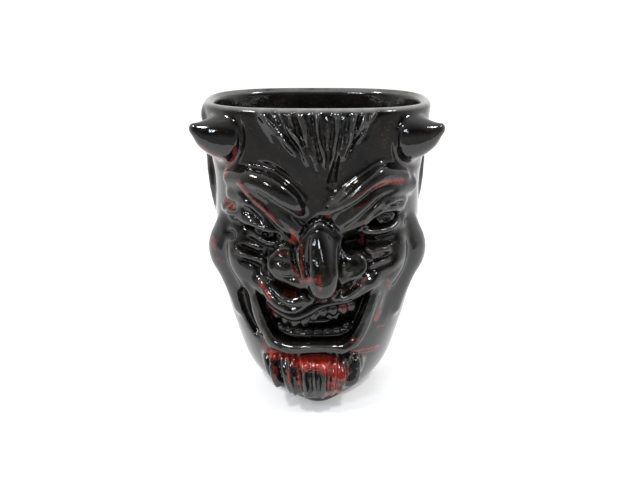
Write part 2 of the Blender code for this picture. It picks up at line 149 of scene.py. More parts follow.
def softbox(name, place, aim, size, watts, colour=(1.0, 1.0, 1.0)):
    bpy.ops.object.light_add(type="AREA", location=place)
    lamp = bpy.context.object
    lamp.name = name
    lamp.data.shape = "RECTANGLE"
    lamp.data.size, lamp.data.size_y = size
    lamp.data.energy = watts
    lamp.data.color = colour
    lamp.rotation_euler = (Vector(aim) - Vector(place)).to_track_quat("-Z", "Y").to_euler()


softbox("left_softbox", (-0.40, -0.30, 0.75), LAMP_AIM, (0.13, 0.09), 3.2)
softbox("right_softbox", (0.42, -0.28, 0.75), LAMP_AIM, (0.13, 0.09), 2.8)
for name, x, y in (("window_pane_a", -0.34, -0.78), ("window_pane_b", -0.24, -0.82)):
    softbox(name, (x, y, 0.66), WINDOW_AIM, (0.035, 0.20), 1.3, WINDOW_BLUE)

CAMERA_PLACE = Vector((0.0012, -0.437, 0.183))
CAMERA_PITCH = math.radians(15.28)
bpy.ops.object.camera_add(location=CAMERA_PLACE, rotation=(math.radians(90) - CAMERA_PITCH, 0, 0))
camera = bpy.context.object
camera.name = "viewpoint"
camera.data.sensor_width = 36.0
camera.data.lens = 57.3
scene.camera = camera
scene.view_settings.view_transform = "Standard"
scene.view_settings.look = "None"


# ---------------------------------------------------------------------------------------------
# The vessel. Clay is raised as a hollow head: a rounded oblong at the rim, drawn in to a foot
# that comes to a blunt point under the chin. Each row gives the plan at one height: the half
# width, the depth in front and behind, and how square the front and the back are.
# ---------------------------------------------------------------------------------------------
HEIGHT = 127.0
SKIN_PLANS = (
    (0.0, 20.8, 32.0, 25.0, 1.45, 2.2),
    (3.0, 25.6, 34.4, 28.0, 1.45, 2.3),
    (12.0, 31.6, 37.5, 31.0, 1.6, 2.3),
    (25.0, 35.8, 40.0, 33.0, 1.9, 2.4),
    (42.0, 40.3, 41.0, 34.5, 2.2, 2.4),
    (60.0, 43.6, 41.5, 35.5, 2.4, 2.4),
    (78.0, 44.0, 41.0, 36.0, 2.5, 2.5),
    (95.0, 44.0, 41.0, 36.5, 2.6, 2.5),
    (112.0, 46.5, 39.5, 37.0, 2.8, 2.6),
    (HEIGHT, 48.3, 37.0, 36.9, 3.0, 2.7),
)
CUP_PLANS = (
    (6.0, 20.0, 19.0, 20.0, 2.0, 2.2),
    (14.0, 26.5, 24.0, 25.5, 2.0, 2.3),
    (30.0, 31.5, 26.5, 28.0, 2.1, 2.4),
    (50.0, 36.5, 27.5, 30.0, 2.2, 2.4),
    (78.0, 38.5, 27.5, 31.0, 2.3, 2.5),
    (100.0, 40.5, 30.0, 32.0, 2.5, 2.5),
    (HEIGHT + 1.0, 44.3, 33.0, 33.0, 3.0, 2.7),
)


def eased(rows, height):
    """The row at a height, on a smooth curve through the rows that are given."""
    heights = [row[0] for row in rows]
    i = min(max(np.searchsorted(heights, height) - 1, 0), len(rows) - 2)
    before, low, high, after = (np.array(rows[min(max(i + k, 0), len(rows) - 1)]) for k in (-1, 0, 1, 2))
    share = np.clip((height - low[0]) / (high[0] - low[0]), 0.0, 1.0)
    low_slope = (high - before) / (high[0] - before[0])
    high_slope = (after - low) / (after[0] - low[0])
    span = high[0] - low[0]
    s2, s3 = share**2, share**3
    return ((2 * s3 - 3 * s2 + 1) * low + (s3 - 2 * s2 + share) * span * low_slope
            + (3 * s2 - 2 * s3) * high + (s3 - s2) * span * high_slope)


def plan_at(rows, height, count, grow=0.0):
    """The outline of the vessel at a height, as points in millimetres."""
    _, half, front, back, front_square, back_square = eased(rows, height)
    turn = 2 * math.pi * np.arange(count) / count
    c, s = np.cos(turn), np.sin(turn)
    square = np.where(s < 0, front_square, back_square)
    depth = np.where(s < 0, front, back) + grow
    x = np.sign(c) * np.abs(c) ** (2 / square) * (half + grow)
    y = np.sign(s) * np.abs(s) ** (2 / square) * depth
    return np.column_stack((x, y, np.full(count, height)))


def raised(name, rows, levels, count=96):
    """A disc drawn up ring by ring through the plans, closed at both ends. Levels are (height, growth)."""
    bpy.ops.object.select_all(action="DESELECT")
    bpy.ops.mesh.primitive_circle_add(vertices=count, radius=0.03, fill_type="NGON")
    obj = bpy.context.object
    obj.name = name
    bpy.ops.object.mode_set(mode="EDIT")
    for _ in levels[1:]:
        bpy.ops.mesh.extrude_region_move(TRANSFORM_OT_translate={"value": (0, 0, 0.001)})
    bpy.ops.object.mode_set(mode="OBJECT")
    rings = np.concatenate([plan_at(rows, height, count, growth) for height, growth in levels])
    obj.data.vertices.foreach_set("co", (rings * MM).astype(np.float32).ravel())
    obj.data.update()
    bpy.ops.object.mode_set(mode="EDIT")
    bpy.ops.mesh.select_all(action="SELECT")
    bpy.ops.mesh.normals_make_consistent(inside=False)
    bpy.ops.object.mode_set(mode="OBJECT")
    return obj


def wall_y(x, z, grow=0.0):
    """Where the front of the vessel's wall stands, behind which every element is rooted."""
    _, half, front, _, square, _ = eased(SKIN_PLANS, z)
    share = min(abs(x) / (half + grow), 0.985)
    return -(front + grow) * (1 - share**square) ** (1 / square)


def through(points, steps=5):
    """A smooth curve through the points, whatever they measure."""
    points = np.array(points, float)
    padded = np.concatenate((points[:1] * 2 - points[1:2], points, points[-1:] * 2 - points[-2:-1]))
    path = []
    for i in range(len(points) - 1):
        a, b, c, d = padded[i:i + 4]
        for t in np.arange(steps) / steps:
            path.append(0.5 * (2 * b + (c - a) * t + (2 * a - 5 * b + 4 * c - d) * t**2
                               + (3 * b - a - 3 * c + d) * t**3))
    return np.array(path + [points[-1]])


def coil(points):
    """A coil of clay of changing radius along (x, y, z, radius), rounded off at both ends."""
    path = through(points)
    curve = bpy.data.curves.new("coil", "CURVE")
    curve.dimensions = "3D"
    curve.bevel_depth = MM
    curve.bevel_resolution = 6
    curve.use_fill_caps = True
    spline = curve.splines.new("POLY")
    spline.points.add(len(path) - 1)
    for knot, (x, y, z, radius) in zip(spline.points, path):
        knot.co = (x * MM, y * MM, z * MM, 1.0)
        knot.radius = radius
    obj = bpy.data.objects.new("coil", curve)
    scene.collection.objects.link(obj)
    bpy.ops.object.select_all(action="DESELECT")
    obj.select_set(True)
    bpy.context.view_layer.objects.active = obj
    bpy.ops.object.convert(target="MESH")
    wet_clay.append(bpy.context.object)
    for x, y, z, radius in (path[0], path[-1]):
        pellet((x, y, z), (radius, radius, radius))


def pellet(centre, half_sizes, lean=0.0):
    """An egg of clay, leant over about the X axis by some degrees."""
    bpy.ops.mesh.primitive_uv_sphere_add(segments=32, ring_count=20, radius=1.0,
                                         location=[c * MM for c in centre],
                                         rotation=(math.radians(lean), 0, 0),
                                         scale=[h * MM for h in half_sizes])
    wet_clay.append(bpy.context.object)


def face_coil(*points):
    """A coil laid on the face: (across, height, lift of its centre above the wall, radius)."""
    coil([(x, wall_y(x, z) - lift, z, radius) for x, z, lift, radius in points])


RIM_ROUND = 1.3
rim_turns = np.radians((0, 22, 45, 68, 90))
skin_levels = [(z, 0.0) for z in np.linspace(0.0, HEIGHT - RIM_ROUND, 80)[:-1]]
skin_levels += [(HEIGHT - RIM_ROUND * (1 - math.sin(t)), RIM_ROUND * (math.cos(t) - 1)) for t in rim_turns]
wet_clay = [raised("vessel", SKIN_PLANS, skin_levels)]

# ---------------------------------------------------------------------------------------------
# The big masses. Coils, balls and pads of the same clay, scored and slipped onto the vessel
# while it is wet, and smoothed in.
# ---------------------------------------------------------------------------------------------
for side in (-1, 1):
    # A horn: a thick cone that leaves the corner of the forehead sideways and a little forwards.
    coil([(side * 27, -21, 113.0, 11.0), (side * 34, -25, 114.2, 10.8), (side * 40, -28, 115.2, 9.4),
          (side * 44.6, -30, 116.4, 7.0), (side * 47.4, -31, 117.6, 4.6), (side * 49.4, -31.5, 118.6, 2.6)])
    # A cheek: a ball of clay that stands out past the side of the head.
    coil([(side * 33, -19, 74, 10.5), (side * 35.8, -18.5, 65.5, 10.8), (side * 33.4, -20, 58, 9.4),
          (side * 31.4, -21, 50, 8.0), (side * 30, -21, 42, 6.6)])
    coil([(side * 30, -26, 75, 7.6), (side * 29, -29.4, 67, 8.6), (side * 27.4, -30.6, 60, 8.0),
          (side * 27, -29.6, 53, 5.0)])
    # A curl of hair at the temple, behind the horn. On the right, it and the ear lie closer in.
    tuck = 0.0 if side < 0 else 2.2
    coil([(side * (x - tuck), y, z, radius) for x, y, z, radius in (
        (43.6, -16, 117, 3.5), (44.8, -13, 122, 4.0), (45.2, -6, 124, 3.0))])
    # An ear: a curled rim and a lobe around a shallow bowl.
    close = 0.8 if side < 0 else 2.2
    coil([(side * (x - close), y, z, radius) for x, y, z, radius in (
        (44.6, 1.5, 80, 2.2), (46.0, 0.5, 88, 2.2), (46.8, 2, 96, 2.4), (47.3, 7, 102, 2.6),
        (47.3, 13, 101, 2.6), (46.7, 16, 94, 2.4), (46.0, 14, 86, 2.4), (45.0, 9, 80, 2.8),
        (44.2, 5, 77.5, 2.6))])
    pellet((side * (43.4 - close), 7, 90), (2.6, 7.5, 11), 12)

# The brows.
face_coil((-34, 98.5, -1, 4.5), (-27, 98.8, 0.6, 5.4), (-20, 96.8, 1.2, 5.8), (-14, 93.6, 1.4, 5.6),
          (-9.6, 90, 1.0, 4.6), (-8, 88.6, 0.4, 3.6))
face_coil((-33, 92, -2, 4.5), (-24, 91.6, -0.8, 4.8), (-17, 87, -0.4, 4.8), (-9.7, 81, -0.4, 4.2),
          (-6, 76.5, -1.0, 3.6))
face_coil((34, 99, -1, 4.0), (26, 101, 0.2, 4.6), (20, 97.8, 1.2, 5.0), (13, 92, 1.4, 5.0),
          (7.6, 88.4, 0.6, 4.0), (4.6, 86.2, -0.6, 3.0))
face_coil((37, 95, -2, 4.5), (29, 94, 0, 5), (21, 90, 0.8, 5), (13, 84, 0.4, 4.4), (8, 80, -0.4, 3.6))
# The eyelids.
face_coil((-33, 84, -2, 4), (-27, 84.5, -0.6, 4.4), (-20, 81, 0, 3.6), (-14, 78, 0, 2.8))
face_coil((-31, 74, -2, 3.6), (-25, 73.5, -0.5, 3.4), (-19, 71.6, -0.2, 3), (-14, 72.6, -0.4, 2.4))
face_coil((19, 82, -0.4, 2.4), (23, 86.4, 0.4, 2.8), (28, 88.6, 0.4, 2.8), (34, 88, -0.4, 2.8))
face_coil((18, 78.6, -0.6, 2.2), (23, 76.6, 0.2, 2.4), (29, 77.2, 0.2, 2.6), (34.5, 81, -0.6, 2.6))
face_coil((20, 70, -0.5, 3), (26, 70.5, 0.2, 3.4), (32, 73, -0.5, 4))
# The nose, with its two wings.
face_coil((0.8, 78.4, 0.0, 4.3), (1.4, 74, 1.7, 5.2), (2.2, 68, 3.6, 6.0), (2.4, 61.6, 5.4, 6.6),
          (2.3, 57.2, 6.0, 6.2), (2.2, 53.6, 5.0, 4.4))
face_coil((-3.4, 77, -1.0, 3.4), (-4.6, 69, 1.2, 4.2), (-3.6, 62, 3.0, 4.8))
face_coil((7.2, 76, -1.0, 3.4), (8.2, 69, 1.0, 4.0), (8.4, 62, 2.6, 4.4))
pellet((-13.4, wall_y(-13.4, 65) - 1.4, 65), (6.6, 5.2, 7.6), -10)
face_coil((-19, 62.6, -0.4, 1.6), (-15.4, 59.8, 1.8, 1.9), (-9.6, 58.4, 3.4, 2.2), (-4.6, 57.4, 5.0, 2.4))
pellet((14.8, wall_y(14.8, 64) - 1.4, 64), (5.6, 5.0, 6.6), -10)
face_coil((19.2, 63, -0.4, 1.6), (15, 60, 1.6, 1.9), (9.6, 58, 3.4, 2.2))
# The lips, drawn back in a wide grin.
face_coil((-26, 57, -1, 3.4), (-20.5, 53.8, 0.8, 3.8), (-15, 50, 2.0, 3.8), (-10, 48.4, 2.4, 3.6),
          (-4, 51, 2.2, 3.2), (2, 52.5, 2.0, 2.8), (10, 52, 2.2, 3.2), (16, 54, 1.4, 3.6),
          (24, 57.2, -0.5, 3.4))
face_coil((-27.5, 54.5, -1, 2.6), (-25.8, 48, 0.4, 2.8), (-24.4, 41, 1.2, 2.8), (-21.5, 34.5, 1.6, 2.8),
          (-17, 29.2, 2.0, 3.0), (-11, 27.6, 2.4, 3.0), (-2.5, 28.8, 2.8, 2.9), (5, 28.6, 2.6, 2.9),
          (11, 28, 2.2, 3.0), (15.8, 31.2, 1.8, 2.8), (19, 37, 1.4, 2.8), (21.3, 44, 0.8, 2.8),
          (23.8, 52, -1, 2.6))
# The chin and its goatee.
face_coil((-17, 19.4, -2.6, 6.6), (-9, 16.6, -1.4, 8.2), (0, 15, -0.6, 9.0), (8, 16, -1.2, 8.2),
          (13.6, 18, -2.4, 6.6))
face_coil((-6, 8.4, -4.5, 6.2), (0.5, 7.6, -3.8, 6.8), (7, 8.4, -4.5, 6.2))
# The coils of hair over the forehead.
HAIR_ROOT_Z = 124
for root_x, end_x, end_z in ((-21, -12, 108), (-13, -5.4, 102), (-6, -1.4, 99), (0.5, 2.2, 97.4),
                             (7.5, 5.2, 97.4), (14, 9.4, 101), (21, 13.4, 109)):
    face_coil((root_x, HAIR_ROOT_Z, -1.0, 2.9),
              ((root_x + end_x) / 2, (HAIR_ROOT_Z + end_z) / 2, -0.9, 2.4),
              (end_x, end_z, -2.0, 1.5))

bpy.ops.object.select_all(action="DESELECT")
for lump in wet_clay:
    lump.select_set(True)
bpy.context.view_layer.objects.active = wet_clay[0]
bpy.ops.object.join()
head = bpy.context.object
head.name = "head"


def finished_with(obj, kind, **settings):
    """Adds a modifier to the object and works it in."""
    bpy.ops.object.select_all(action="DESELECT")
    obj.select_set(True)
    bpy.context.view_layer.objects.active = obj
    modifier = obj.modifiers.new("finish", kind)
    for key, value in settings.items():
        setattr(modifier, key, value)
    bpy.ops.object.modifier_apply(modifier=modifier.name)


WET_GRAIN = 0.8
finished_with(head, "REMESH", mode="VOXEL", voxel_size=WET_GRAIN * MM)
finished_with(head, "SMOOTH", factor=0.5, iterations=14)


# ---------------------------------------------------------------------------------------------
# The modelling. Once the masses have firmed up, folds and furrows are worked into the surface
# with a wooden tool. A stroke follows a line seen from the front, and pushes the skin in or
# draws it out square to itself.
# ---------------------------------------------------------------------------------------------
FIRM_GRAIN = 0.6


def finely_meshed(obj, size):
    finished_with(obj, "REMESH", mode="VOXEL", voxel_size=size * MM)


def taken_up(obj):
    """The positions, in millimetres, and the directions outwards of all its points."""
    count = len(obj.data.vertices)
    places, outwards = np.empty(count * 3), np.empty(count * 3)
    obj.data.vertices.foreach_get("co", places)
    obj.data.vertex_normals.foreach_get("vector", outwards)
    return places.reshape(-1, 3) / MM, outwards.reshape(-1, 3)


def nearness(path, across, up, reach):
    """How far each point is from the path, as a share of the reach, and how far along it lies."""
    share = np.full(len(across), np.inf)
    along = np.zeros(len(across))
    for k, (start, end) in enumerate(zip(path, path[1:])):
        low = np.minimum(start[:2], end[:2]) - reach
        high = np.maximum(start[:2], end[:2]) + reach
        near = np.flatnonzero((across > low[0]) & (across < high[0]) & (up > low[1]) & (up < high[1]))
        dx, dz = end[0] - start[0], end[1] - start[1]
        rx, rz = across[near] - start[0], up[near] - start[1]
        t = np.clip((rx * dx + rz * dz) / (dx * dx + dz * dz), 0, 1)
        width = reach * (start[2] + (end[2] - start[2]) * t)
        d = np.hypot(rx - t * dx, rz - t * dz) / np.maximum(width, 1e-3)
        closer = d < share[near]
        share[near[closer]] = d[closer]
        along[near[closer]] = (k + t[closer]) / (len(path) - 1)
    return share, along


FORMS = {
    "soft": lambda s: (1 - s * s) ** 2,
    "roll": lambda s: np.sqrt(1 - s * s),
    "cut": lambda s: (1 - s) ** 1.5,
}


def stroke(points, reach, height, form="soft", taper=0.3, straight_in=False):
    """One stroke of the tool on the front of the head: outwards if its height is positive."""
    points = [(*point, 1.0)[:3] for point in points]
    share, along = nearness(through(points, 4), places[front, 0], places[front, 2], reach)
    touched = share < 1
    ends = np.clip(np.minimum(along, 1 - along) / taper, 0, 1)[touched] if taper else 1.0
    amount = height * FORMS[form](share[touched]) * np.sin(ends * math.pi / 2)
    (pushed if straight_in else relief)[front[touched]] += amount


finely_meshed(head, FIRM_GRAIN)
places, outwards = taken_up(head)
front = np.flatnonzero((places[:, 1] < 2) & (outwards[:, 1] < 0.3))
relief, pushed = np.zeros(len(places)), np.zeros(len(places))

# The locks of the widow's peak, each a ridge with a parting beside it, that run together lower down.
PEAK_LOCKS = 13
for i in range(PEAK_LOCKS):
    spread = 2 * i / (PEAK_LOCKS - 1) - 1
    top, foot = 23.5 * spread, 2.4 + 11.0 * spread
    length = 24.5 * (1 - 0.42 * abs(spread)) + 2.4 * math.sin(i * 2.6)
    wave = 0.8 * math.sin(i * 1.9)
    lock = [(top, 126.5),
            ((2 * top + foot) / 3 + wave, 126 - 0.36 * length),
            ((top + 2 * foot) / 3 - wave, 126 - 0.7 * length),
            (foot, 126 - length)]
    stroke(lock, 1.7, 1.2 + 0.3 * math.sin(i * 3.1), "soft", taper=0.3)
    stroke([(x + 1.7, z) for x, z in lock], 1.3, -2.0 - 0.5 * math.sin(i * 1.3), "cut", taper=0.35)
stroke([(8.2, 109, 0.6), (6.6, 102, 0.9), (5.7, 95.4, 1.2)], 2.7, -2.3)
# The furrows round the horns' roots.
stroke([(-31.5, 124), (-30.2, 117), (-31, 110.5), (-35, 104), (-41, 101)], 2.4, -1.6, "cut")
stroke([(33, 123), (31.4, 115), (32.4, 107.5), (37, 103), (43, 101)], 2.4, -1.6, "cut")

# The left brow.
stroke([(-27, 104.5), (-18.5, 104), (-9.7, 98), (-3.6, 91.6)], 2.8, -1.0)
stroke([(-30, 97), (-22.5, 94.4), (-15.2, 89.4), (-8.6, 85.4), (-4.4, 81)], 2.0, -1.7, "cut")
stroke([(-33, 97), (-28, 91.8), (-21.6, 86.4), (-17.7, 81.8), (-14.2, 78.2), (-11, 75.4)], 2.0, -2.4, "cut")
stroke([(-31.6, 99.6), (-28, 93.6), (-21.4, 88), (-17.7, 83.4), (-14.4, 80), (-10.6, 76.6)], 1.3, 1.2, "roll")
# The right brow, in two rolls.
stroke([(4.4, 89.6), (9.7, 94), (17, 100.6), (25, 106)], 2.6, -1.2)
stroke([(5, 84.6), (11, 87.6), (17.5, 91.6), (23, 95.6), (29, 98)], 1.8, -1.9, "cut")
stroke([(9, 78.8), (15.5, 83), (20.7, 87.8), (26.2, 92.6), (33, 95)], 1.8, -2.0, "cut")
stroke([(9.6, 76.8), (17, 80.8), (22.5, 86), (28, 90.7), (35, 93)], 1.4, 1.0, "roll")

# The left eye, squeezed almost shut.
stroke([(-33, 87.4), (-29.5, 89.4), (-26, 89), (-22.6, 85.8), (-18.6, 81)], 1.2, 1.0, "roll")
stroke([(-30.4, 86), (-26, 85.4), (-21, 81.6)], 2.2, -2.2, "cut")
stroke([(-32.4, 81.8), (-26.6, 81.8), (-22, 79.8), (-16.6, 77.8)], 1.3, 1.3, "roll")
stroke([(-31, 79.4), (-25.6, 79), (-20, 77.2), (-14.4, 75.6)], 2.0, -3.4, "cut", taper=0.2)
stroke([(-29, 77.4), (-25, 75.6), (-22, 73.8), (-18.6, 72.8), (-14.6, 73.6)], 1.1, 1.0, "roll")
stroke([(-30, 75), (-25.4, 72.6), (-20.4, 70.6), (-16, 71)], 1.6, -1.8, "cut")
stroke([(-38, 87.8), (-32.6, 86.2)], 2.6, -2.2, "cut")
stroke([(-40, 85), (-36.4, 83.9), (-32.4, 84.8)], 1.2, 1.1, "roll")
# The right eye, wide open.
stroke([(19.6, 82), (24, 87.4), (29.6, 91.8), (35.6, 92)], 1.6, -1.6, "cut")
stroke([(25, 88.6), (30.2, 90.4), (34.6, 90.2), (37, 87.8)], 1.1, 0.9, "roll")
stroke([(27.6, 88), (32, 88.8), (36.4, 87)], 1.5, -1.6, "cut")
stroke([(19.4, 81), (23.2, 84.9), (27.3, 86.9), (31.6, 86.6), (34, 84)], 1.2, 1.3, "roll", taper=0.15)
stroke([(17.6, 79.4), (21.4, 77.7), (26.4, 77.5), (31, 79), (34, 82)], 1.2, 1.2, "roll", taper=0.15)
stroke([(19, 76.2), (25, 75.2), (32, 77)], 1.5, -1.8, "cut")
stroke([(20, 73.4), (26.5, 72.6), (33, 74.6)], 1.7, -1.8, "cut")
stroke([(35.8, 80.8), (37.4, 80)], 1.2, -1.0)

# Both eyes lie in deep sockets.
stroke([(-31, 75), (-24, 72), (-17, 70.6)], 6.0, -2.4, straight_in=True)
stroke([(12, 73), (20, 73), (31, 75)], 5.2, -2.2, straight_in=True)

# The nose: its bridge breaks out from under the brows in a squared cap.
stroke([(-7.4, 75), (-4.6, 79.6), (0.6, 83.6), (5.4, 81.4), (9.8, 76.6)], 1.6, -2.0, "cut")
stroke([(-5.6, 75.6), (-3.2, 79), (0.6, 81.8), (4.2, 80.2), (7.8, 76.4)], 1.0, 0.9, "roll")
stroke([(-7.4, 75), (-9.4, 70.5), (-8.4, 65.4), (-6.4, 61.4)], 1.7, -2.0, "cut")
stroke([(-6.4, 75), (-8.0, 70.5), (-6.8, 65), (-4.6, 59)], 1.0, 1.0, "roll")
stroke([(-4.4, 74.5), (-5.4, 70), (-4.6, 65), (-3.4, 61)], 1.2, -1.3, "cut")
stroke([(-1.8, 78.6), (-2.2, 72), (-2.0, 64.5)], 1.0, 0.7, "roll")
stroke([(9.6, 74.5), (9.2, 70), (9.2, 65), (10.2, 60.6)], 1.6, -2.2, "cut")
stroke([(8.0, 75.4), (7.6, 70), (7.6, 65), (8.6, 60.6)], 1.0, 0.8, "roll")
stroke([(0.4, 73), (0.8, 66), (1.0, 60)], 1.4, -0.5)
stroke([(10, 73.6), (15, 73.6), (20.4, 73.4)], 3.4, -3.4)
# Its wings and the nostrils under them.
stroke([(-11, 73.6), (-16, 73), (-20, 69), (-21, 64.4), (-19.4, 60.4)], 1.9, -2.4, "cut")
stroke([(-9.4, 71.6), (-14, 72), (-18.2, 69), (-19.4, 65), (-18, 61.4)], 1.0, 1.0, "roll")
stroke([(-18.4, 66.6), (-14.6, 67.2), (-10.6, 65.4)], 1.5, -1.6, "cut")
stroke([(-17.6, 62.4), (-12.4, 60.6), (-7, 61)], 1.3, -1.3, "cut")
stroke([(-17.4, 57.6, 0.7), (-12.6, 55.4), (-7.6, 53.8, 0.8)], 2.3, -5.0)
stroke([(12, 71.4), (18, 70.4), (20.9, 66.6), (20.4, 62.4), (16, 58.6), (11, 56.4)], 1.7, -2.2, "cut")
stroke([(13, 70.2), (17.6, 69.2), (19.3, 66), (18.8, 62.8), (14.6, 60.4), (10.4, 58.4)], 1.0, 0.9, "roll")
stroke([(10.4, 69.4), (12.4, 67), (10.6, 64.4), (12.6, 62)], 1.0, 0.7, "roll")
stroke([(16.4, 56.8), (12.6, 55), (9.8, 53.6)], 1.8, -2.6, "cut")
stroke([(-6.2, 58), (-4, 53.4), (-0.4, 49.8), (4.6, 49.8), (8.2, 53), (10.2, 57)], 1.4, -1.6, "cut")

# The folds that the grin pushes up under the eyes.
stroke([(-33.6, 71.6), (-28, 69.4), (-22, 67.4)], 1.7, -2.4, "cut")
stroke([(-34, 68.9), (-28, 67), (-23.2, 65.4), (-20.4, 63.4)], 1.3, 1.2, "roll")
stroke([(-31, 73), (-26, 71), (-22.6, 69.4)], 1.2, 1.0, "roll")
stroke([(-32, 66.2), (-26, 63.8), (-22, 60.6)], 1.7, -2.0, "cut")
stroke([(-36.4, 76.6), (-34.6, 73)], 3.0, -1.6)
stroke([(18.6, 70.5), (22.4, 69.8), (26.4, 70.7), (30.4, 70.7)], 1.2, 1.3, "roll")
stroke([(29, 69.3), (22, 68.4)], 1.1, -1.6, "cut")
stroke([(30, 70), (24.4, 68), (20.6, 66.8)], 1.1, 1.1, "roll")
stroke([(30.6, 68), (25, 66), (20.8, 64.6)], 1.3, -1.9, "cut")
stroke([(31, 66.9), (27.3, 65.8), (23.6, 64.2), (20.8, 62.6)], 1.2, 1.2, "roll")
stroke([(35, 66.6), (30.2, 62.6), (22.5, 58.6)], 2.6, 1.0)

# The lips.
stroke([(-23.6, 58), (-20.3, 52.4), (-17.6, 49.4), (-14, 47), (-10.2, 45.8), (-6.2, 47), (-1, 50.4)],
       1.4, 1.1, "roll")
stroke([(-21.6, 57), (-17.4, 51.8), (-14, 49.1), (-10.2, 47.6), (-5, 49.2)], 1.3, -1.6, "cut")
stroke([(9, 50.4), (14.3, 52.8), (19.4, 56.8)], 1.3, 1.0, "roll")
stroke([(10.6, 49.2), (16, 52), (21.6, 55.8)], 1.2, -1.5, "cut")
stroke([(-17, 29.4), (-11, 27.2), (-4, 28.4), (4, 28.6), (11, 27.6)], 1.3, -1.3, "cut")
stroke([(-20, 27), (-11, 24.7), (-3, 26), (5, 26), (11, 24.8), (17, 28)], 1.9, -2.4, "cut")
# The creases down the jaw.
stroke([(-31.2, 51.6), (-30.2, 45), (-28.4, 38), (-26, 33), (-23.2, 29.6)],
       3.6, -5.4, straight_in=True, taper=0.15)
stroke([(-34, 52), (-32.6, 46), (-30.8, 39)], 1.6, 0.8, "roll")
stroke([(-25.4, 29.4), (-20.6, 25.6)], 1.8, -1.2, "cut")
stroke([(24.6, 58), (28.4, 55), (30, 50), (28.6, 43), (25.6, 35)], 3.0, -1.0)

# The goatee: locks that hang from under the lip, crowded at one side and swept together at the other.
LOCKS = 15
for i in range(LOCKS):
    top = -21.5 + 38.0 * (i / (LOCKS - 1)) ** 1.12
    sway = 0.9 * math.sin(i * 2.3)
    foot = -15.0 + 27.0 * (i / (LOCKS - 1)) ** 1.12
    line = [(top, 25.4 - 0.006 * top * top), (top * 0.96 + sway, 19.4), (0.5 * (top + foot) + sway, 12.5),
            (foot, 4.4 + 0.026 * foot * foot)]
    bold = 1.0 if i < 8 else 0.65
    stroke(line, 1.4, 1.7 * bold, "roll", taper=0.1)
    stroke([(x + 1.4, z) for x, z in line], 0.95, -2.0 * bold, "cut", taper=0.1)
stroke([(11, 23), (15, 22), (17, 18), (15.6, 13.4), (12, 10.6)], 1.5, 1.3, "roll")
stroke([(10.6, 20.6), (13.4, 19), (13.8, 15.6), (11.4, 12.6)], 1.4, -1.7, "cut")
stroke([(12.6, 21.2), (12.2, 20)], 1.4, -1.6)
stroke([(-3.6, 22), (-2.6, 15), (-3.4, 10)], 1.0, -1.0, "cut")
stroke([(3.6, 16.4), (8, 13), (12.4, 11.4)], 1.2, -1.3, "cut")

# The back is combed in shallow waves of hair.
COMB_DEPTH = 0.9
FACES_BACK = 0.25
back = np.flatnonzero(outwards[:, 1] > FACES_BACK)
across, up = places[back, 0], places[back, 2]
shown = np.clip((outwards[back, 1] - FACES_BACK) / 0.4, 0, 1)
shown = shown * np.clip((up - 22) / 20, 0, 1) * np.clip((121 - up) / 6, 0, 1)
waves = np.sin(2 * math.pi * (across / (3.0 + 0.03 * up) + 0.22 * np.sin(0.09 * up + 0.05 * across)))
relief[back] -= COMB_DEPTH * shown * np.clip(waves, 0, 1) ** 2

places += outwards * relief[:, None]
places[:, 1] -= pushed


def edges_of(obj):
    ends = np.empty(len(obj.data.edges) * 2, np.int32)
    obj.data.edges.foreach_get("vertices", ends)
    return ends.reshape(-1, 2)


def sponged(values, ends, passes):
    """The values, evened out over the mesh by averaging each point with its neighbours."""
    count = len(values)
    shares = np.bincount(ends.ravel(), minlength=count)
    for _ in range(passes):
        total = np.zeros_like(values)
        for k in range(values.shape[1]):
            total[:, k] = (np.bincount(ends[:, 0], values[ends[:, 1], k], count)
                           + np.bincount(ends[:, 1], values[ends[:, 0], k], count))
        values = 0.5 * values + 0.5 * total / np.maximum(shares, 1)[:, None]
    return values


# A wet sponge takes the marks off where the brows meet and below the cheeks.
wiped = sponged(places, edges_of(head), 20)[front]
for path, reach in ((((-4.5, 90.5, 1), (0.4, 86.4, 1), (4.5, 90.5, 1)), 4.0),
                    (((-44, 61, 1), (-38, 55, 1), (-33, 46, 1)), 6.5),
                    (((44, 61, 1), (38, 55, 1), (33, 46, 1)), 6.5)):
    share, _ = nearness(through(path, 4), places[front, 0], places[front, 2], reach)
    places[front] += np.clip(1 - share ** 2, 0, 1)[:, None] * (wiped - places[front])
head.data.vertices.foreach_set("co", (places * MM).astype(np.float32).ravel())
head.data.update()

# ---------------------------------------------------------------------------------------------
# The mouth, the eye openings and the cup are carved out when the clay is leather hard, and the
# cut edges are sponged smooth.
# ---------------------------------------------------------------------------------------------
IN_FRONT = -90.0
BEHIND_SEAT = -12.0
FLOOR_Z = 6.0


def around(outline):
    """A smooth closed outline through the points."""
    return [tuple(p) for p in through([*outline, outline[0]], 4)[:-1]]


def block(name, outline, near, far):
    """A block of space with an outline seen from the front, between two depths."""
    bpy.ops.object.select_all(action="DESELECT")
    bpy.ops.mesh.primitive_circle_add(vertices=len(outline), radius=0.01, fill_type="NGON")
    obj = bpy.context.object
    obj.name = name
    bpy.ops.object.mode_set(mode="EDIT")
    bpy.ops.mesh.extrude_region_move(TRANSFORM_OT_translate={"value": (0, 0, 0.001)})
    bpy.ops.object.mode_set(mode="OBJECT")
    corners = [(x, near, z) for x, z in outline] + [(x, far, z) for x, z in outline]
    obj.data.vertices.foreach_set("co", (np.array(corners) * MM).astype(np.float32).ravel())
    bpy.ops.object.mode_set(mode="EDIT")
    bpy.ops.mesh.select_all(action="SELECT")
    bpy.ops.mesh.quads_convert_to_tris()
    bpy.ops.mesh.normals_make_consistent(inside=False)
    bpy.ops.object.mode_set(mode="OBJECT")
    return obj


def cut_with(obj, cutter, operation="DIFFERENCE"):
    finished_with(obj, "BOOLEAN", operation=operation, object=cutter, solver="MANIFOLD")


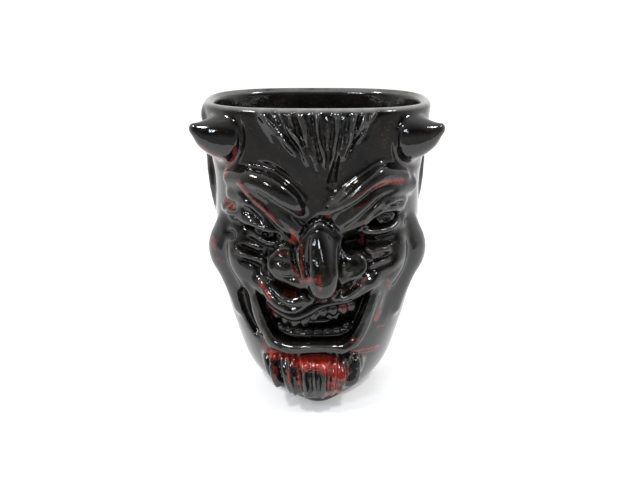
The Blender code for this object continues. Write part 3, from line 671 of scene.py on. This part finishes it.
def hollow(name, outline, depth):
    """Carves the outline into the front of the head, down to a floor that follows the wall."""
    opening = block(name, around(outline), IN_FRONT, BEHIND_SEAT)
    floor = raised("floor", SKIN_PLANS, [(z, -depth) for z in np.linspace(0.0, HEIGHT, 60)])
    cut_with(opening, floor)
    cut_with(head, opening)
    for used in (opening, floor):
        bpy.data.objects.remove(used)


MOUTH_DEPTH = 8.6
RIGHT_EYE_DEPTH = 5.0
LEFT_EYE_DEPTH = 4.6
hollow("mouth", [(-25.6, 52.5), (-22.2, 50), (-18, 46.4), (-14, 44), (-10, 43), (-6, 44), (-1.5, 47.4),
                 (4, 48.6), (10, 48.2), (15, 49.6), (19.5, 52.4), (21.8, 51), (19.6, 44), (17, 37.5),
                 (13.4, 32.2), (8, 30.8), (-2, 31), (-11, 30.2), (-16.6, 31.6), (-20, 35.6), (-22.6, 42),
                 (-24.6, 48)], MOUTH_DEPTH)
hollow("right_eye_opening", [(19.6, 80.6), (22.4, 83.6), (26.4, 85.8), (30.6, 85.4), (32.8, 82.8),
                             (29.4, 80.2), (24.4, 79.2)], RIGHT_EYE_DEPTH)
hollow("left_eye_opening", [(-29.6, 79.6), (-25, 79.6), (-20, 77.8), (-15, 75.8), (-18.6, 75.2),
                            (-24, 76.6)], LEFT_EYE_DEPTH)
finely_meshed(head, FIRM_GRAIN)
finished_with(head, "SMOOTH", factor=0.4, iterations=3)

cup_levels = [(z, 0.0) for z in np.linspace(FLOOR_Z, HEIGHT - RIM_ROUND, 70)[:-1]]
cup_levels += [(HEIGHT - RIM_ROUND * math.cos(t), RIM_ROUND * math.sin(t) ** 2) for t in rim_turns]
cup_levels += [(HEIGHT + 1.0, RIM_ROUND)]
cup = raised("cup", CUP_PLANS, cup_levels)
cut_with(head, cup)
bpy.data.objects.remove(cup)


# ---------------------------------------------------------------------------------------------
# The eyes. Two balls of clay with a dished iris and a pricked pupil, set in behind the lids
# from the front, before the clay dries.
# ---------------------------------------------------------------------------------------------
EYE_RADIUS = 5.9
EYE_SINK = 5.7
IRIS_RADIUS = 3.1
PUPIL_RADIUS = 1.8


def eyeball(name, x, z, gaze):
    centre = Vector((x, wall_y(x, z) + EYE_SINK, z))
    bpy.ops.object.select_all(action="DESELECT")
    bpy.ops.mesh.primitive_uv_sphere_add(segments=96, ring_count=64, radius=EYE_RADIUS * MM,
                                         location=centre * MM, rotation=(math.radians(90), 0, 0))
    ball = bpy.context.object
    ball.name = name
    bpy.ops.object.transform_apply(location=True, rotation=True, scale=True)
    gaze = Vector(gaze).normalized()
    for vertex in ball.data.vertices:
        spoke = vertex.co / MM - centre
        off_axis = (spoke - spoke.dot(gaze) * gaze).length
        if spoke.dot(gaze) > 0:
            dish = 0.22 * max(0.0, 1 - (off_axis / IRIS_RADIUS) ** 6) ** 0.5
            prick = 1.3 * max(0.0, 1 - (off_axis / PUPIL_RADIUS) ** 3) ** 0.7
            vertex.co -= spoke.normalized() * (dish + prick) * MM
    ball.data.shade_smooth()
    return ball


left_eyeball = eyeball("left_eye", -20.5, 76.6, (-0.1, -1, -0.1))
right_eyeball = eyeball("right_eye", 26.5, 82.6, (0.3, -1, 0.02))


# ---------------------------------------------------------------------------------------------
# The teeth and the tongue. Each tooth is a pinched pad of clay on a strip of gum that follows
# the curve of the jaw, and the whole row is pressed in at once.
# ---------------------------------------------------------------------------------------------
TEETH_SINK = 4.9
TEETH_GRAIN = 0.3


def teeth(name, places_across, gum, size):
    """A row of teeth, (across, height) of each, in one piece with its gum, (across, height, sink, radius)."""
    wide, deep, tall = size
    pads = []
    for x, z in places_across:
        bpy.ops.object.select_all(action="DESELECT")
        bpy.ops.mesh.primitive_cube_add(size=1.0, location=Vector((x, wall_y(x, z) + TEETH_SINK, z)) * MM,
                                        rotation=(0, 0, math.atan2(wall_y(x + 1, z) - wall_y(x - 1, z), 2)),
                                        scale=Vector((wide, deep, tall)) * MM)
        pad = bpy.context.object
        finished_with(pad, "SUBSURF", levels=3, render_levels=3)
        pads.append(pad)
    wet_clay.clear()
    coil([(x, wall_y(x, z) + sink, z, radius) for x, z, sink, radius in gum])
    bpy.ops.object.select_all(action="DESELECT")
    for lump in pads + wet_clay:
        lump.select_set(True)
    bpy.context.view_layer.objects.active = pads[0]
    bpy.ops.object.join()
    row = bpy.context.object
    row.name = name
    bpy.ops.object.transform_apply(location=True, rotation=True, scale=True)
    finely_meshed(row, TEETH_GRAIN)
    finished_with(row, "SMOOTH", factor=0.5, iterations=3)
    row.data.shade_smooth()
    return row


upper_teeth = teeth(
    "upper_row",
    [(-17, 41.4), (-13.2, 39.2), (-9.2, 38), (-5.2, 39), (-1.4, 41.2), (2.4, 43), (6.6, 43.6), (10.8, 44),
     (14.6, 45)],
    [(-20.6, 46.4, 3.4, 1.6), (-17, 43.8, 3.0, 1.9), (-12.4, 41.6, 2.6, 2.0), (-8.6, 41, 2.6, 2.0),
     (-4, 43, 2.6, 1.9), (1, 46, 2.8, 1.7), (7, 47.4, 3.2, 1.6), (13, 48, 3.6, 1.6), (17, 49.6, 4.4, 1.4)],
    (5.4, 5.2, 7.6))
lower_teeth = teeth(
    "lower_row",
    [(-15.6, 35.4), (-11.8, 34.4), (-7.8, 33.9), (-3.8, 33.7), (0.2, 33.7), (4.2, 33.9), (8.2, 34.4),
     (12.2, 35.8)],
    [(-17, 34.6, 4.6, 1.7), (-12, 32.8, 4.2, 1.7), (-4, 32.4, 4.2, 1.6), (4, 32.4, 4.2, 1.6),
     (10, 32.8, 4.2, 1.7), (14, 35, 4.8, 1.7)],
    (4.8, 4.6, 4.6))
bpy.ops.object.select_all(action="DESELECT")
bpy.ops.mesh.primitive_uv_sphere_add(segments=48, ring_count=32, radius=1.0,
                                     location=Vector((-2, wall_y(-2, 38.6) + 5.8, 38.6)) * MM,
                                     scale=Vector((7.6, 2.2, 1.7)) * MM)
tongue = bpy.context.object
tongue.name = "tongue_pad"
bpy.ops.object.transform_apply(location=True, rotation=True, scale=True)
tongue.data.shade_smooth()


# ---------------------------------------------------------------------------------------------
# The glaze. Glossy and black, poured over the whole head, thin and grey on the ridges, with a
# painted highlight, a paler grey, on the sharpest of them. The hollows get painted shade: the glaze
# shines less there. Red was brushed on before it here and there, and has bled into it. Each piece
# is sliced from the one head, and bare clay shows only on the cuts behind it.
# ---------------------------------------------------------------------------------------------
places, outwards = taken_up(head)
ends = edges_of(head)
# How far each point of the skin stands proud of its surroundings, close by and further out.
fine = np.einsum("ij,ij->i", places - sponged(places, ends, 6), outwards)
broad = np.einsum("ij,ij->i", places - sponged(places, ends, 40), outwards)
proud = 2.0 * fine + 0.12 * broad
skin = KDTree(len(places))
for i, place in enumerate(places):
    skin.insert(place, i)
skin.balance()

bare_clay = bpy.data.materials.new("bare_fired_clay")
bare_clay.use_nodes = True
biscuit = bare_clay.node_tree
grit = new_node(biscuit, "TexNoise")
grit.inputs["Scale"].default_value = 900.0
grit.inputs["Detail"].default_value = 6.0
clay_tone = new_node(biscuit, "ValToRGB")
shaded(clay_tone, 0.0, (0.40, 0.34, 0.27), 1.0, (0.62, 0.56, 0.47))
clay_bump = new_node(biscuit, "Bump")
clay_bump.inputs["Strength"].default_value = 0.4
clay_bump.inputs["Distance"].default_value = 0.0002
clay_place = new_node(biscuit, "TexCoord")
clay_shader = biscuit.nodes["Principled BSDF"]
clay_shader.inputs["Roughness"].default_value = 0.85
wired(biscuit,
      (clay_place.outputs["Object"], grit.inputs["Vector"]),
      (grit.outputs["Fac"], clay_tone.inputs["Fac"]),
      (clay_tone.outputs["Color"], clay_shader.inputs["Base Color"]),
      (grit.outputs["Fac"], clay_bump.inputs["Height"]),
      (clay_bump.outputs["Normal"], clay_shader.inputs["Normal"]))


def black_glaze(name, red=(0.28, 0.040, 0.030), drift=0.0, rim=False):
    """The glaze as it came out on one piece. Drift moves its clouds and specks about."""
    material = bpy.data.materials.new(name)
    material.use_nodes = True
    nodes, links = material.node_tree.nodes, material.node_tree.links
    shader = nodes["Principled BSDF"]

    def noise(scale, detail, roughness=0.5, distortion=0.0):
        node = nodes.new("ShaderNodeTexNoise")
        node.inputs["Scale"].default_value = scale
        node.inputs["Detail"].default_value = detail
        node.inputs["Roughness"].default_value = roughness
        node.inputs["Distortion"].default_value = distortion
        links.new(placed.outputs["Vector"], node.inputs["Vector"])
        return node.outputs["Fac"]

    def ramp(source, low, high, low_colour=(0, 0, 0), high_colour=(1, 1, 1)):
        node = nodes.new("ShaderNodeValToRGB")
        node.color_ramp.elements[0].position, node.color_ramp.elements[1].position = low, high
        node.color_ramp.elements[0].color = (*low_colour, 1.0)
        node.color_ramp.elements[1].color = (*high_colour, 1.0)
        links.new(source, node.inputs["Fac"])
        return node.outputs["Color"]

    def sum_of(a, b, times=1.0):
        node = nodes.new("ShaderNodeMath")
        node.operation = "MULTIPLY_ADD"
        links.new(b, node.inputs[0])
        node.inputs[1].default_value = times
        links.new(a, node.inputs[2])
        return node.outputs["Value"]

    def product(a, b):
        node = nodes.new("ShaderNodeMath")
        node.operation = "MULTIPLY"
        links.new(a, node.inputs[0])
        links.new(b, node.inputs[1])
        return node.outputs["Value"]

    def over(under, colour, cover):
        node = nodes.new("ShaderNodeMix")
        node.data_type = "RGBA"
        links.new(cover, node.inputs["Factor"])
        links.new(under, node.inputs["A"])
        if isinstance(colour, tuple):
            node.inputs["B"].default_value = (*colour, 1.0)
        else:
            links.new(colour, node.inputs["B"])
        return node.outputs["Result"]

    def worn(attribute):
        node = nodes.new("ShaderNodeAttribute")
        node.attribute_name = attribute
        return node.outputs["Fac"]

    where = nodes.new("ShaderNodeTexCoord")
    placed = nodes.new("ShaderNodeMapping")
    placed.inputs["Location"].default_value = (drift, 0.7 * drift, -0.4 * drift)
    links.new(where.outputs["Object"], placed.inputs["Vector"])
    cloud = noise(70.0, 5.0, 0.6)
    grain = noise(900.0, 3.0, 0.7)
    curd = noise(420.0, 5.0, 0.72, 0.8)

    # Black, going brown where the cloud of iron in it is dense, with fine paler specks.
    colour = ramp(cloud, 0.40, 0.68, (0.0020, 0.0021, 0.0026), (0.0100, 0.0076, 0.0055))
    speck = product(ramp(grain, 0.56, 0.72), ramp(cloud, 0.40, 0.62))
    colour = over(colour, (0.040, 0.031, 0.022), speck)
    # Thin and grey where it runs off a ridge. The paler grey on the sharpest ridges is partly thin glaze and
    # partly a painted highlight.
    thin_glaze_and_highlight = sum_of(worn("proud"), curd, 0.14)
    colour = over(colour, (0.050, 0.049, 0.046), ramp(thin_glaze_and_highlight, 0.56, 0.78))
    colour = over(colour, (0.20, 0.197, 0.188), ramp(thin_glaze_and_highlight, 0.84, 1.0))
    # Red that has bled into it.
    streak = ramp(noise(760.0, 4.0, 0.75, 1.2), 0.40, 0.62)
    bled = product(worn("red"), sum_of(streak, curd, 1.1))
    colour = over(colour, (0.045, 0.008, 0.005), ramp(bled, 0.22, 0.55))
    red_tone = ramp(cloud, 0.35, 0.70, tuple(0.5 * c for c in red), red)
    colour = over(colour, red_tone, ramp(bled, 0.50, 1.0))
    if rim:
        # Wiped pale along the lip.
        height = nodes.new("ShaderNodeSeparateXYZ")
        links.new(where.outputs["Object"], height.inputs["Vector"])
        lip = nodes.new("ShaderNodeMapRange")
        lip.inputs["From Min"].default_value = (HEIGHT - 1.5) * MM
        lip.inputs["From Max"].default_value = (HEIGHT - 0.5) * MM
        links.new(height.outputs["Z"], lip.inputs["Value"])
        colour = over(colour, (0.13, 0.13, 0.12), product(lip.outputs["Result"], ramp(cloud, 0.25, 0.55)))
    links.new(colour, shader.inputs["Base Color"])
    links.new(ramp(cloud, 0.30, 0.75, (0.05,) * 3, (0.13,) * 3), shader.inputs["Roughness"])
    shader.inputs["IOR"].default_value = 1.52
    # Painted shade: the glaze shines less in the shaded hollows, so they read darker.
    links.new(ramp(worn("painted_shade"), 0.0, 1.0, (0.5,) * 3, (0.18,) * 3), shader.inputs["Specular IOR Level"])
    shader.inputs["Coat Weight"].default_value = 0.1
    shader.inputs["Coat Roughness"].default_value = 0.03
    skin_bump = nodes.new("ShaderNodeBump")
    skin_bump.inputs["Strength"].default_value = 0.42
    skin_bump.inputs["Distance"].default_value = 0.00025
    links.new(sum_of(noise(240.0, 3.0, 0.55), cloud, 0.8), skin_bump.inputs["Height"])
    links.new(skin_bump.outputs["Normal"], shader.inputs["Normal"])
    return material


# The hollows given painted shade, where the glaze is made to shine less so that they read dark: (line,
# reach).
SHADED_HOLLOWS = (([(-33, 77, 1), (-24, 72, 1), (-15, 71.5, 1)], 8.0),
         ([(11, 73, 1), (20, 72.5, 1), (31, 75, 1)], 6.5),
         ([(-8, 73, 1), (-7, 62, 1)], 2.6),
         ([(10.4, 72, 1), (10.2, 61, 1)], 2.6),
         ([(-18, 57, 1), (-7, 54, 1)], 3.6),
         ([(-30, 54, 1), (-28, 40, 1), (-24, 32, 1)], 2.6),
         ([(-34, 68, 1), (-22, 64, 1)], 3.0),
         ([(-13, 3, 1), (13, 3, 1)], 6.0))


# Skin within the first distance of the whole head's is the same skin; past the second it is a cut.
SAME_SKIN, NEAR_SKIN = 0.02, 0.8
# The red is brushed on from the front, and fades out along the sides of the head.
RED_ENDS_Y, RED_FADE = -13, 7


def glazed(piece, material, strokes=()):
    """Gives a piece its glaze. Its brush strokes of red are (points, reach, strength)."""
    mesh = piece.data
    if not mesh.materials:
        mesh.materials.append(material)
    mesh.materials[[m == bare_clay for m in mesh.materials].index(False)] = material
    points, _ = taken_up(piece)
    standing, brushed = np.zeros(len(points)), np.zeros(len(points))
    normals = np.zeros((len(points), 3))
    for i, point in enumerate(points):
        _, nearest, gap = skin.find(point)
        if gap < SAME_SKIN:
            standing[i] = proud[nearest]
            normals[i] = outwards[nearest]
        elif gap < NEAR_SKIN:
            weights = [(1 / max(d, 1e-4), k) for _, k, d in skin.find_n(point, 3)]
            total = sum(w for w, _ in weights)
            standing[i] = sum(w * proud[k] for w, k in weights) / total
            normals[i] = sum(w * outwards[k] for w, k in weights) / total
    for line, reach, strength in strokes:
        share, along = nearness(through([(*p, 1.0)[:3] for p in line], 4), points[:, 0], points[:, 2], reach)
        near = share < 1
        ends = np.clip(np.minimum(along, 1 - along)[near] / 0.15 + 0.35, 0, 1)
        level = strength * (1 - share[near] ** 2) * ends
        brushed[near] = np.maximum(brushed[near],
                                   level * np.clip((RED_ENDS_Y - points[near, 1]) / RED_FADE, 0, 1))
    # Painted shade: how deep each point lies in one of the shaded hollows, weaker where it stands proud.
    painted_shade = np.zeros(len(points))
    for line, reach in SHADED_HOLLOWS:
        share, _ = nearness(line, points[:, 0], points[:, 2], reach)
        painted_shade = np.maximum(painted_shade, np.where(points[:, 1] < 0, np.clip(1.3 * (1 - share ** 2), 0, 1), 0))
    painted_shade *= np.clip(1 - 1.6 * standing, 0, 1)
    # How thin the glaze runs on each ridge. The sharpest ridges also get a painted highlight from this.
    thinness_and_highlight = np.clip(0.4 + 0.6 * standing, 0, 1)
    for name, values in (("proud", thinness_and_highlight), ("red", brushed), ("painted_shade", painted_shade)):
        layer = mesh.attributes.get(name) or mesh.attributes.new(name, "FLOAT", "POINT")
        layer.data.foreach_set("value", values.astype(np.float32))
    mesh.shade_smooth()
    return normals


def lifted(name, cutter):
    """Slices a piece loose from the head along a wire, and leaves the rest of the head."""
    piece = bpy.data.objects.new(name, head.data.copy())
    scene.collection.objects.link(piece)
    cut_with(piece, cutter, "INTERSECT")
    cut_with(head, cutter)
    bpy.data.objects.remove(cutter)
    return piece


SEAT_DEPTH = 1.5
core = raised("core", SKIN_PLANS, [(z, -SEAT_DEPTH) for z in np.linspace(0.0, HEIGHT, 60)])


def wire(name, outline, back=BEHIND_SEAT, sideways=0):
    """The space around a piece: its outline pushed in through the face, or through a side, to its seat."""
    space = block(name, outline, IN_FRONT, back)
    if sideways:
        space.data.transform(Matrix.Rotation(math.radians(90) * sideways, 4, "Z"))
    space.data.materials.append(bare_clay)
    cut_with(space, core)
    return space


def skinned(piece, normals):
    """Lets the light run on across the joints of the fired piece without a break."""
    mesh = piece.data
    corners = np.empty(len(mesh.loops), np.int32)
    mesh.loops.foreach_get("vertex_index", corners)
    seat = {i for i, m in enumerate(mesh.materials) if m == bare_clay}
    slots = np.empty(len(mesh.polygons), np.int32)
    mesh.polygons.foreach_get("material_index", slots)
    counts = np.empty(len(mesh.polygons), np.int32)
    mesh.polygons.foreach_get("loop_total", counts)
    directions = normals[corners]
    directions[np.repeat(np.isin(slots, list(seat)), counts)] = 0
    mesh.normals_split_custom_set(directions.tolist())


def fixed(piece, node):
    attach(piece, "root")
    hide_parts(node)


def alongside(points, half_width):
    """A closed outline that keeps beside a line at a distance, with rounded ends."""
    path = through(points, 4)
    slopes = np.gradient(path, axis=0)
    slopes /= np.linalg.norm(slopes, axis=1)[:, None]
    across = np.column_stack((-slopes[:, 1], slopes[:, 0])) * half_width
    turns = np.radians(np.arange(30, 180, 30))
    first = [path[0] - slopes[0] * half_width * math.sin(t) - across[0] * math.cos(t) for t in turns]
    last = [path[-1] + slopes[-1] * half_width * math.sin(t) + across[-1] * math.cos(t) for t in turns]
    return [tuple(p) for p in [*(path + across), *last, *(path - across)[::-1], *first]]


def sliced(name, outline, strokes=(), node=None, slot="black_glaze", back=BEHIND_SEAT, sideways=0, **finish):
    """Slices one piece from the head, glazes it with its brush strokes, and fixes it in place."""
    piece = lifted(f"{name}_glazed", wire(name, outline, back, sideways))
    skinned(piece, glazed(piece, black_glaze(f"{name}_glaze", **finish), strokes))
    fixed(piece, node or name)


# ---------------------------------------------------------------------------------------------
# The horns. Each is a thick cone of clay, scored and slipped onto the corner of the forehead.
# They are sliced from the head first, as the last clay to go on.
# ---------------------------------------------------------------------------------------------
HORN_OUTLINE = ((60, 126), (40, 125), (31, 122), (28.5, 112), (32, 103), (44, 99.5), (60, 101))
for side, name, red in (
        (-1, "left_horn", [([(-48, 112), (-45, 107.5), (-38, 105)], 3.6, 0.95),
                           ([(-32.6, 112), (-33.4, 107), (-36, 103), (-38, 99)], 1.3, 1.0)]),
        (1, "right_horn", [([(34, 103), (38, 102.4)], 1.4, 0.5)])):
    sliced(name, around([(side * x, z) for x, z in HORN_OUTLINE]), red, back=-6.0, drift=0.3 + side)

# ---------------------------------------------------------------------------------------------
# The lower lip. One long coil of clay that runs from one corner of the grin to the other,
# pressed on and blended into the jaw.
# ---------------------------------------------------------------------------------------------
LOWER_LIP = ((-27.5, 53), (-25.4, 43), (-21.6, 34), (-14, 28), (-1, 28.8),
             (11, 27.8), (18.2, 34), (21.8, 43), (24.6, 51.6))
sliced("lower_lip", alongside(LOWER_LIP, 3.4), [
    ([(-20, 27), (-12, 25.4), (-4, 26.6), (4, 26.8)], 1.6, 0.55),
    ([(13, 31), (17, 32), (20, 29.6)], 1.4, 0.6)], drift=1.1)

# ---------------------------------------------------------------------------------------------
# The goatee. A thick pad of clay over the chin, combed into locks while it is soft. The red was
# laid on it most thickly.
# ---------------------------------------------------------------------------------------------
GOATEE = ((-21.5, 25), (-9, 24.4), (0, 25.2), (8, 24.2), (18, 23.6), (18.6, 15), (11.4, 7.4), (1, 4.6),
          (-9.4, 6.2), (-18.4, 13.6))
sliced("goatee", around(GOATEE), [
    ([(-21, 23), (-14, 24.4), (-6, 24.4)], 3.0, 0.9),
    ([(-12, 24.6), (-4, 23.6), (2, 23), (7, 20), (12, 14)], 5.2, 1.1),
    ([(-18, 20), (-16.6, 15)], 1.6, 0.7), ([(-12, 20), (-11.6, 13)], 1.5, 0.65),
    ([(-8, 20), (-7, 12)], 1.4, 0.7), ([(2, 8), (7, 9.6), (12, 9.6)], 1.7, 1.0),
    ([(4, 14), (10, 12.6)], 2.2, 1.0), ([(-20.4, 17), (-17, 12)], 1.4, 0.6)],
    slot="red_glaze", red=(0.42, 0.026, 0.016), drift=2.2)

# ---------------------------------------------------------------------------------------------
# The nose. A ridge of clay, broad at the tip, that breaks out from under the brows and hangs
# over the upper lip.
# ---------------------------------------------------------------------------------------------
NOSE = ((0.5, 84.4), (-6.2, 77), (-6.6, 66), (-5, 56), (-3, 51.4), (3, 49), (8, 51.8), (9.6, 57), (9, 66),
        (9.2, 77))
sliced("nose", around(NOSE), [
    ([(-4.8, 60.2), (-1.4, 61.6), (2.6, 61)], 1.2, 0.9), ([(0.6, 64), (1.4, 57)], 1.6, 0.75),
    ([(5, 54.4), (8.4, 53.8)], 1.1, 0.6), ([(-6, 75), (-6.4, 69), (-5.4, 62), (-4.4, 58.6)], 1.3, 0.6)],
    drift=3.1)

# ---------------------------------------------------------------------------------------------
# The wings of the nose. Two pads of clay pressed in beside it, each hollowed below for the
# nostril.
# ---------------------------------------------------------------------------------------------
for name, outline, red in (
        ("left_nostril", ((-20.6, 64), (-17, 73), (-9.6, 73), (-6.4, 66), (-5.2, 57), (-13, 57.4), (-19, 60)),
         [([(-10, 66), (-7.4, 61), (-5, 58.4)], 1.4, 0.7), ([(-17, 70), (-12, 70.6)], 1.6, 0.45)]),
        ("right_nostril", ((20.6, 65), (18, 59.6), (10, 56.4), (9.2, 64), (10.4, 71.6), (17.6, 71.4)),
         [([(10.6, 60), (14, 62)], 1.2, 0.4)])):
    sliced(name, around(outline), red, drift=4.3)

# ---------------------------------------------------------------------------------------------
# The upper lip. A coil of clay under the nose, drawn up at both ends, and lifted on one side
# into a sneer.
# ---------------------------------------------------------------------------------------------
UPPER_LIP = ((-27, 57.4), (-20, 53), (-10, 48.6), (1, 50), (11, 50.8), (19, 54.4), (25, 57.4))
sliced("upper_lip", alongside(UPPER_LIP, 4.0), [
    ([(-24, 58), (-20.6, 53.6), (-18.6, 50.4)], 1.5, 0.85), ([(-14, 53.6), (-8, 52.6)], 1.8, 0.6),
    ([(10, 54), (16, 56.6), (22, 59.6)], 1.1, 0.55)], drift=5.2)

# ---------------------------------------------------------------------------------------------
# The eyelids. Four thin rolls of clay, laid round the eyes and blended outwards: one pair
# squeezed almost shut, the other pair wide apart.
# ---------------------------------------------------------------------------------------------
for name, line, half_width, red in (
        ("right_upper_eyelid", ((18.4, 81.4), (22, 86.6), (28, 89.4), (35, 87.6)), 3.2,
         [([(19, 82), (22, 82)], 1.6, 0.75)]),
        ("left_upper_eyelid", ((-33, 84.6), (-27, 85.6), (-21, 81.8), (-13.6, 77.4)), 3.4,
         [([(-37, 87.6), (-33.6, 85.6)], 3.0, 0.8)]),
        ("right_lower_eyelid", ((17.6, 78.4), (24, 75.8), (30, 76.2), (35.4, 80.2)), 3.0,
         [([(18.6, 77), (18.4, 73)], 1.0, 0.6)]),
        ("left_lower_eyelid", ((-31, 75.6), (-25, 72.6), (-19, 70.6), (-13.6, 72)), 3.0, [])):
    sliced(name, alongside(line, half_width), red, drift=6.4)

# ---------------------------------------------------------------------------------------------
# The brows. Two heavy rolls of clay that hang over the eyes and meet above the nose in a frown.
# The right one is worked into two folds.
# ---------------------------------------------------------------------------------------------
for name, line, red in (
        ("right_brow", ((35, 98), (27, 99.6), (17, 94.4), (9, 88), (3, 84)),
         [([(22, 96.6), (28, 98.6), (36, 97.6)], 1.9, 0.95), ([(14, 93.6), (22, 97)], 1.0, 0.55),
          ([(3.6, 84.4), (6, 85.4)], 1.5, 0.8), ([(12, 87), (22, 92)], 1.3, 0.42)]),
        ("left_brow", ((-33, 98), (-26, 99.6), (-16, 95), (-8, 90), (-2, 85)),
         [([(-31.4, 99.6), (-28, 93.6), (-21.4, 88)], 1.5, 0.95), ([(-9, 88), (-5.4, 85.4)], 1.6, 0.42),
          ([(-36, 103), (-38, 99)], 1.6, 0.8)])):
    sliced(name, alongside(line, 6.8), red, drift=7.7)

# ---------------------------------------------------------------------------------------------
# The widow's peak. Seven coils of clay, laid side by side from the rim down to a point, and
# combed into thirteen locks.
# ---------------------------------------------------------------------------------------------
HAIR_PEAK = ((-24, 124.4), (-14, 109), (-4, 100), (4, 97), (10.6, 103), (24, 124.4))
sliced("hair", around(HAIR_PEAK), node="hair_peak", drift=8.2)

# ---------------------------------------------------------------------------------------------
# The cheeks. Balls of clay that swell past the sides of the head and crease towards the nose,
# each pressed on below the eye.
# ---------------------------------------------------------------------------------------------
CHEEK_OUTLINE = ((44, 84), (37.6, 80.6), (36, 75), (25, 71), (21, 64), (27, 59.6), (36, 52), (50, 50),
                 (52, 70))
for side, name, red in (
        (-1, "left_cheek", [([(-43.6, 72), (-43.4, 66)], 1.7, 0.8), ([(-43, 63), (-37, 61.4)], 1.4, 0.5),
                            ([(-24, 58), (-21, 54)], 1.6, 0.6)]),
        (1, "right_cheek", [([(22, 67.6), (27.6, 70)], 1.2, 0.5), ([(28, 58), (29.6, 53)], 1.0, 0.5)])):
    sliced(name, around([(side * x, z) for x, z in CHEEK_OUTLINE]), red, back=-2.0, drift=9.5)

# ---------------------------------------------------------------------------------------------
# The ears. Each is a curled rim of clay around a shallow bowl, slipped flat onto the side of
# the head.
# ---------------------------------------------------------------------------------------------
turns = np.radians(np.arange(0, 360, 15))
ear_oval = list(zip(7 + 9.6 * np.cos(turns) - 1.6 * np.sin(turns),
                    90 + 14.0 * np.sin(turns) + 2.0 * np.cos(turns)))
for side, name in ((-1, "left_ear"), (1, "right_ear")):
    sliced(name, [(side * y, z) for y, z in ear_oval], back=0.0, sideways=side, drift=10.0)

# ---------------------------------------------------------------------------------------------
# The eyeballs, teeth and tongue. They were set into the openings while the clay was soft, and
# are glazed like the rest.
# ---------------------------------------------------------------------------------------------
for piece, node, red in (
        (left_eyeball, "left_eyeball", []),
        (right_eyeball, "right_eyeball", [([(20.4, 81.6), (22.4, 81.6)], 1.6, 0.8)]),
        (upper_teeth, "upper_teeth", [([(9, 44), (14, 45)], 3.0, 0.7), ([(-22, 45), (-17, 41)], 2.4, 0.62)]),
        (lower_teeth, "lower_teeth", []),
        (tongue, "tongue", [])):
    glazed(piece, black_glaze(f"{node}_glaze", drift=11.3), red)
    fixed(piece, node)

# ---------------------------------------------------------------------------------------------
# The mug's own body: what is left of the head once the pieces are off, with its wall, its floor
# and its rim. The plain back needs fewer points than the face.
# ---------------------------------------------------------------------------------------------
mug = head
mug.name = "mug_glazed"
outer_back = mug.vertex_groups.new(name="outer_back")
outer_back.add([v.index for v in mug.data.vertices
                if v.co.y > 2 * MM and v.co.z > 2 * MM and v.co.xy.dot(v.normal.xy) > 0], 1.0, "REPLACE")
finished_with(mug, "DECIMATE", ratio=0.74, vertex_group="outer_back", vertex_group_factor=10.0)
mug.vertex_groups.clear()
skinned(mug, glazed(mug, black_glaze("mug_glaze", drift=0.0, rim=True), [
    ([(-12, 80), (-9.4, 76), (-11, 73)], 3.0, 0.95),
    ([(-26, 91.6), (-21.4, 88), (-14.4, 80.4), (-10.6, 77)], 1.5, 0.95),
    ([(-39, 88), (-33.6, 86.6)], 3.2, 0.8), ([(-40, 98), (-36, 92)], 2.2, 0.5),
    ([(18.4, 77), (18.4, 71.4)], 1.1, 0.8), ([(-17, 57.4), (-12, 55.4), (-7, 54)], 2.2, 0.72),
    ([(27, 47), (24.6, 42), (24.4, 37)], 1.2, 1.0), ([(24.6, 36.6), (27, 41.6)], 1.1, 0.9),
    ([(25, 34), (29, 33.4)], 1.0, 0.8), ([(12.6, 24.6), (20, 24.2), (28, 22.8)], 1.1, 0.95),
    ([(17, 22.8), (28, 21.4)], 1.0, 0.8), ([(-22.6, 27), (-20.6, 22)], 2.2, 0.7),
    ([(-30, 55), (-31, 50)], 1.2, 0.45), ([(28.6, 58), (30.4, 50)], 1.1, 0.8),
    ([(33, 60), (29.4, 55)], 0.9, 0.7), ([(-24.6, 56), (-22, 51)], 1.4, 0.7)]))
fixed(mug, "mug_body")
bpy.data.objects.remove(core)
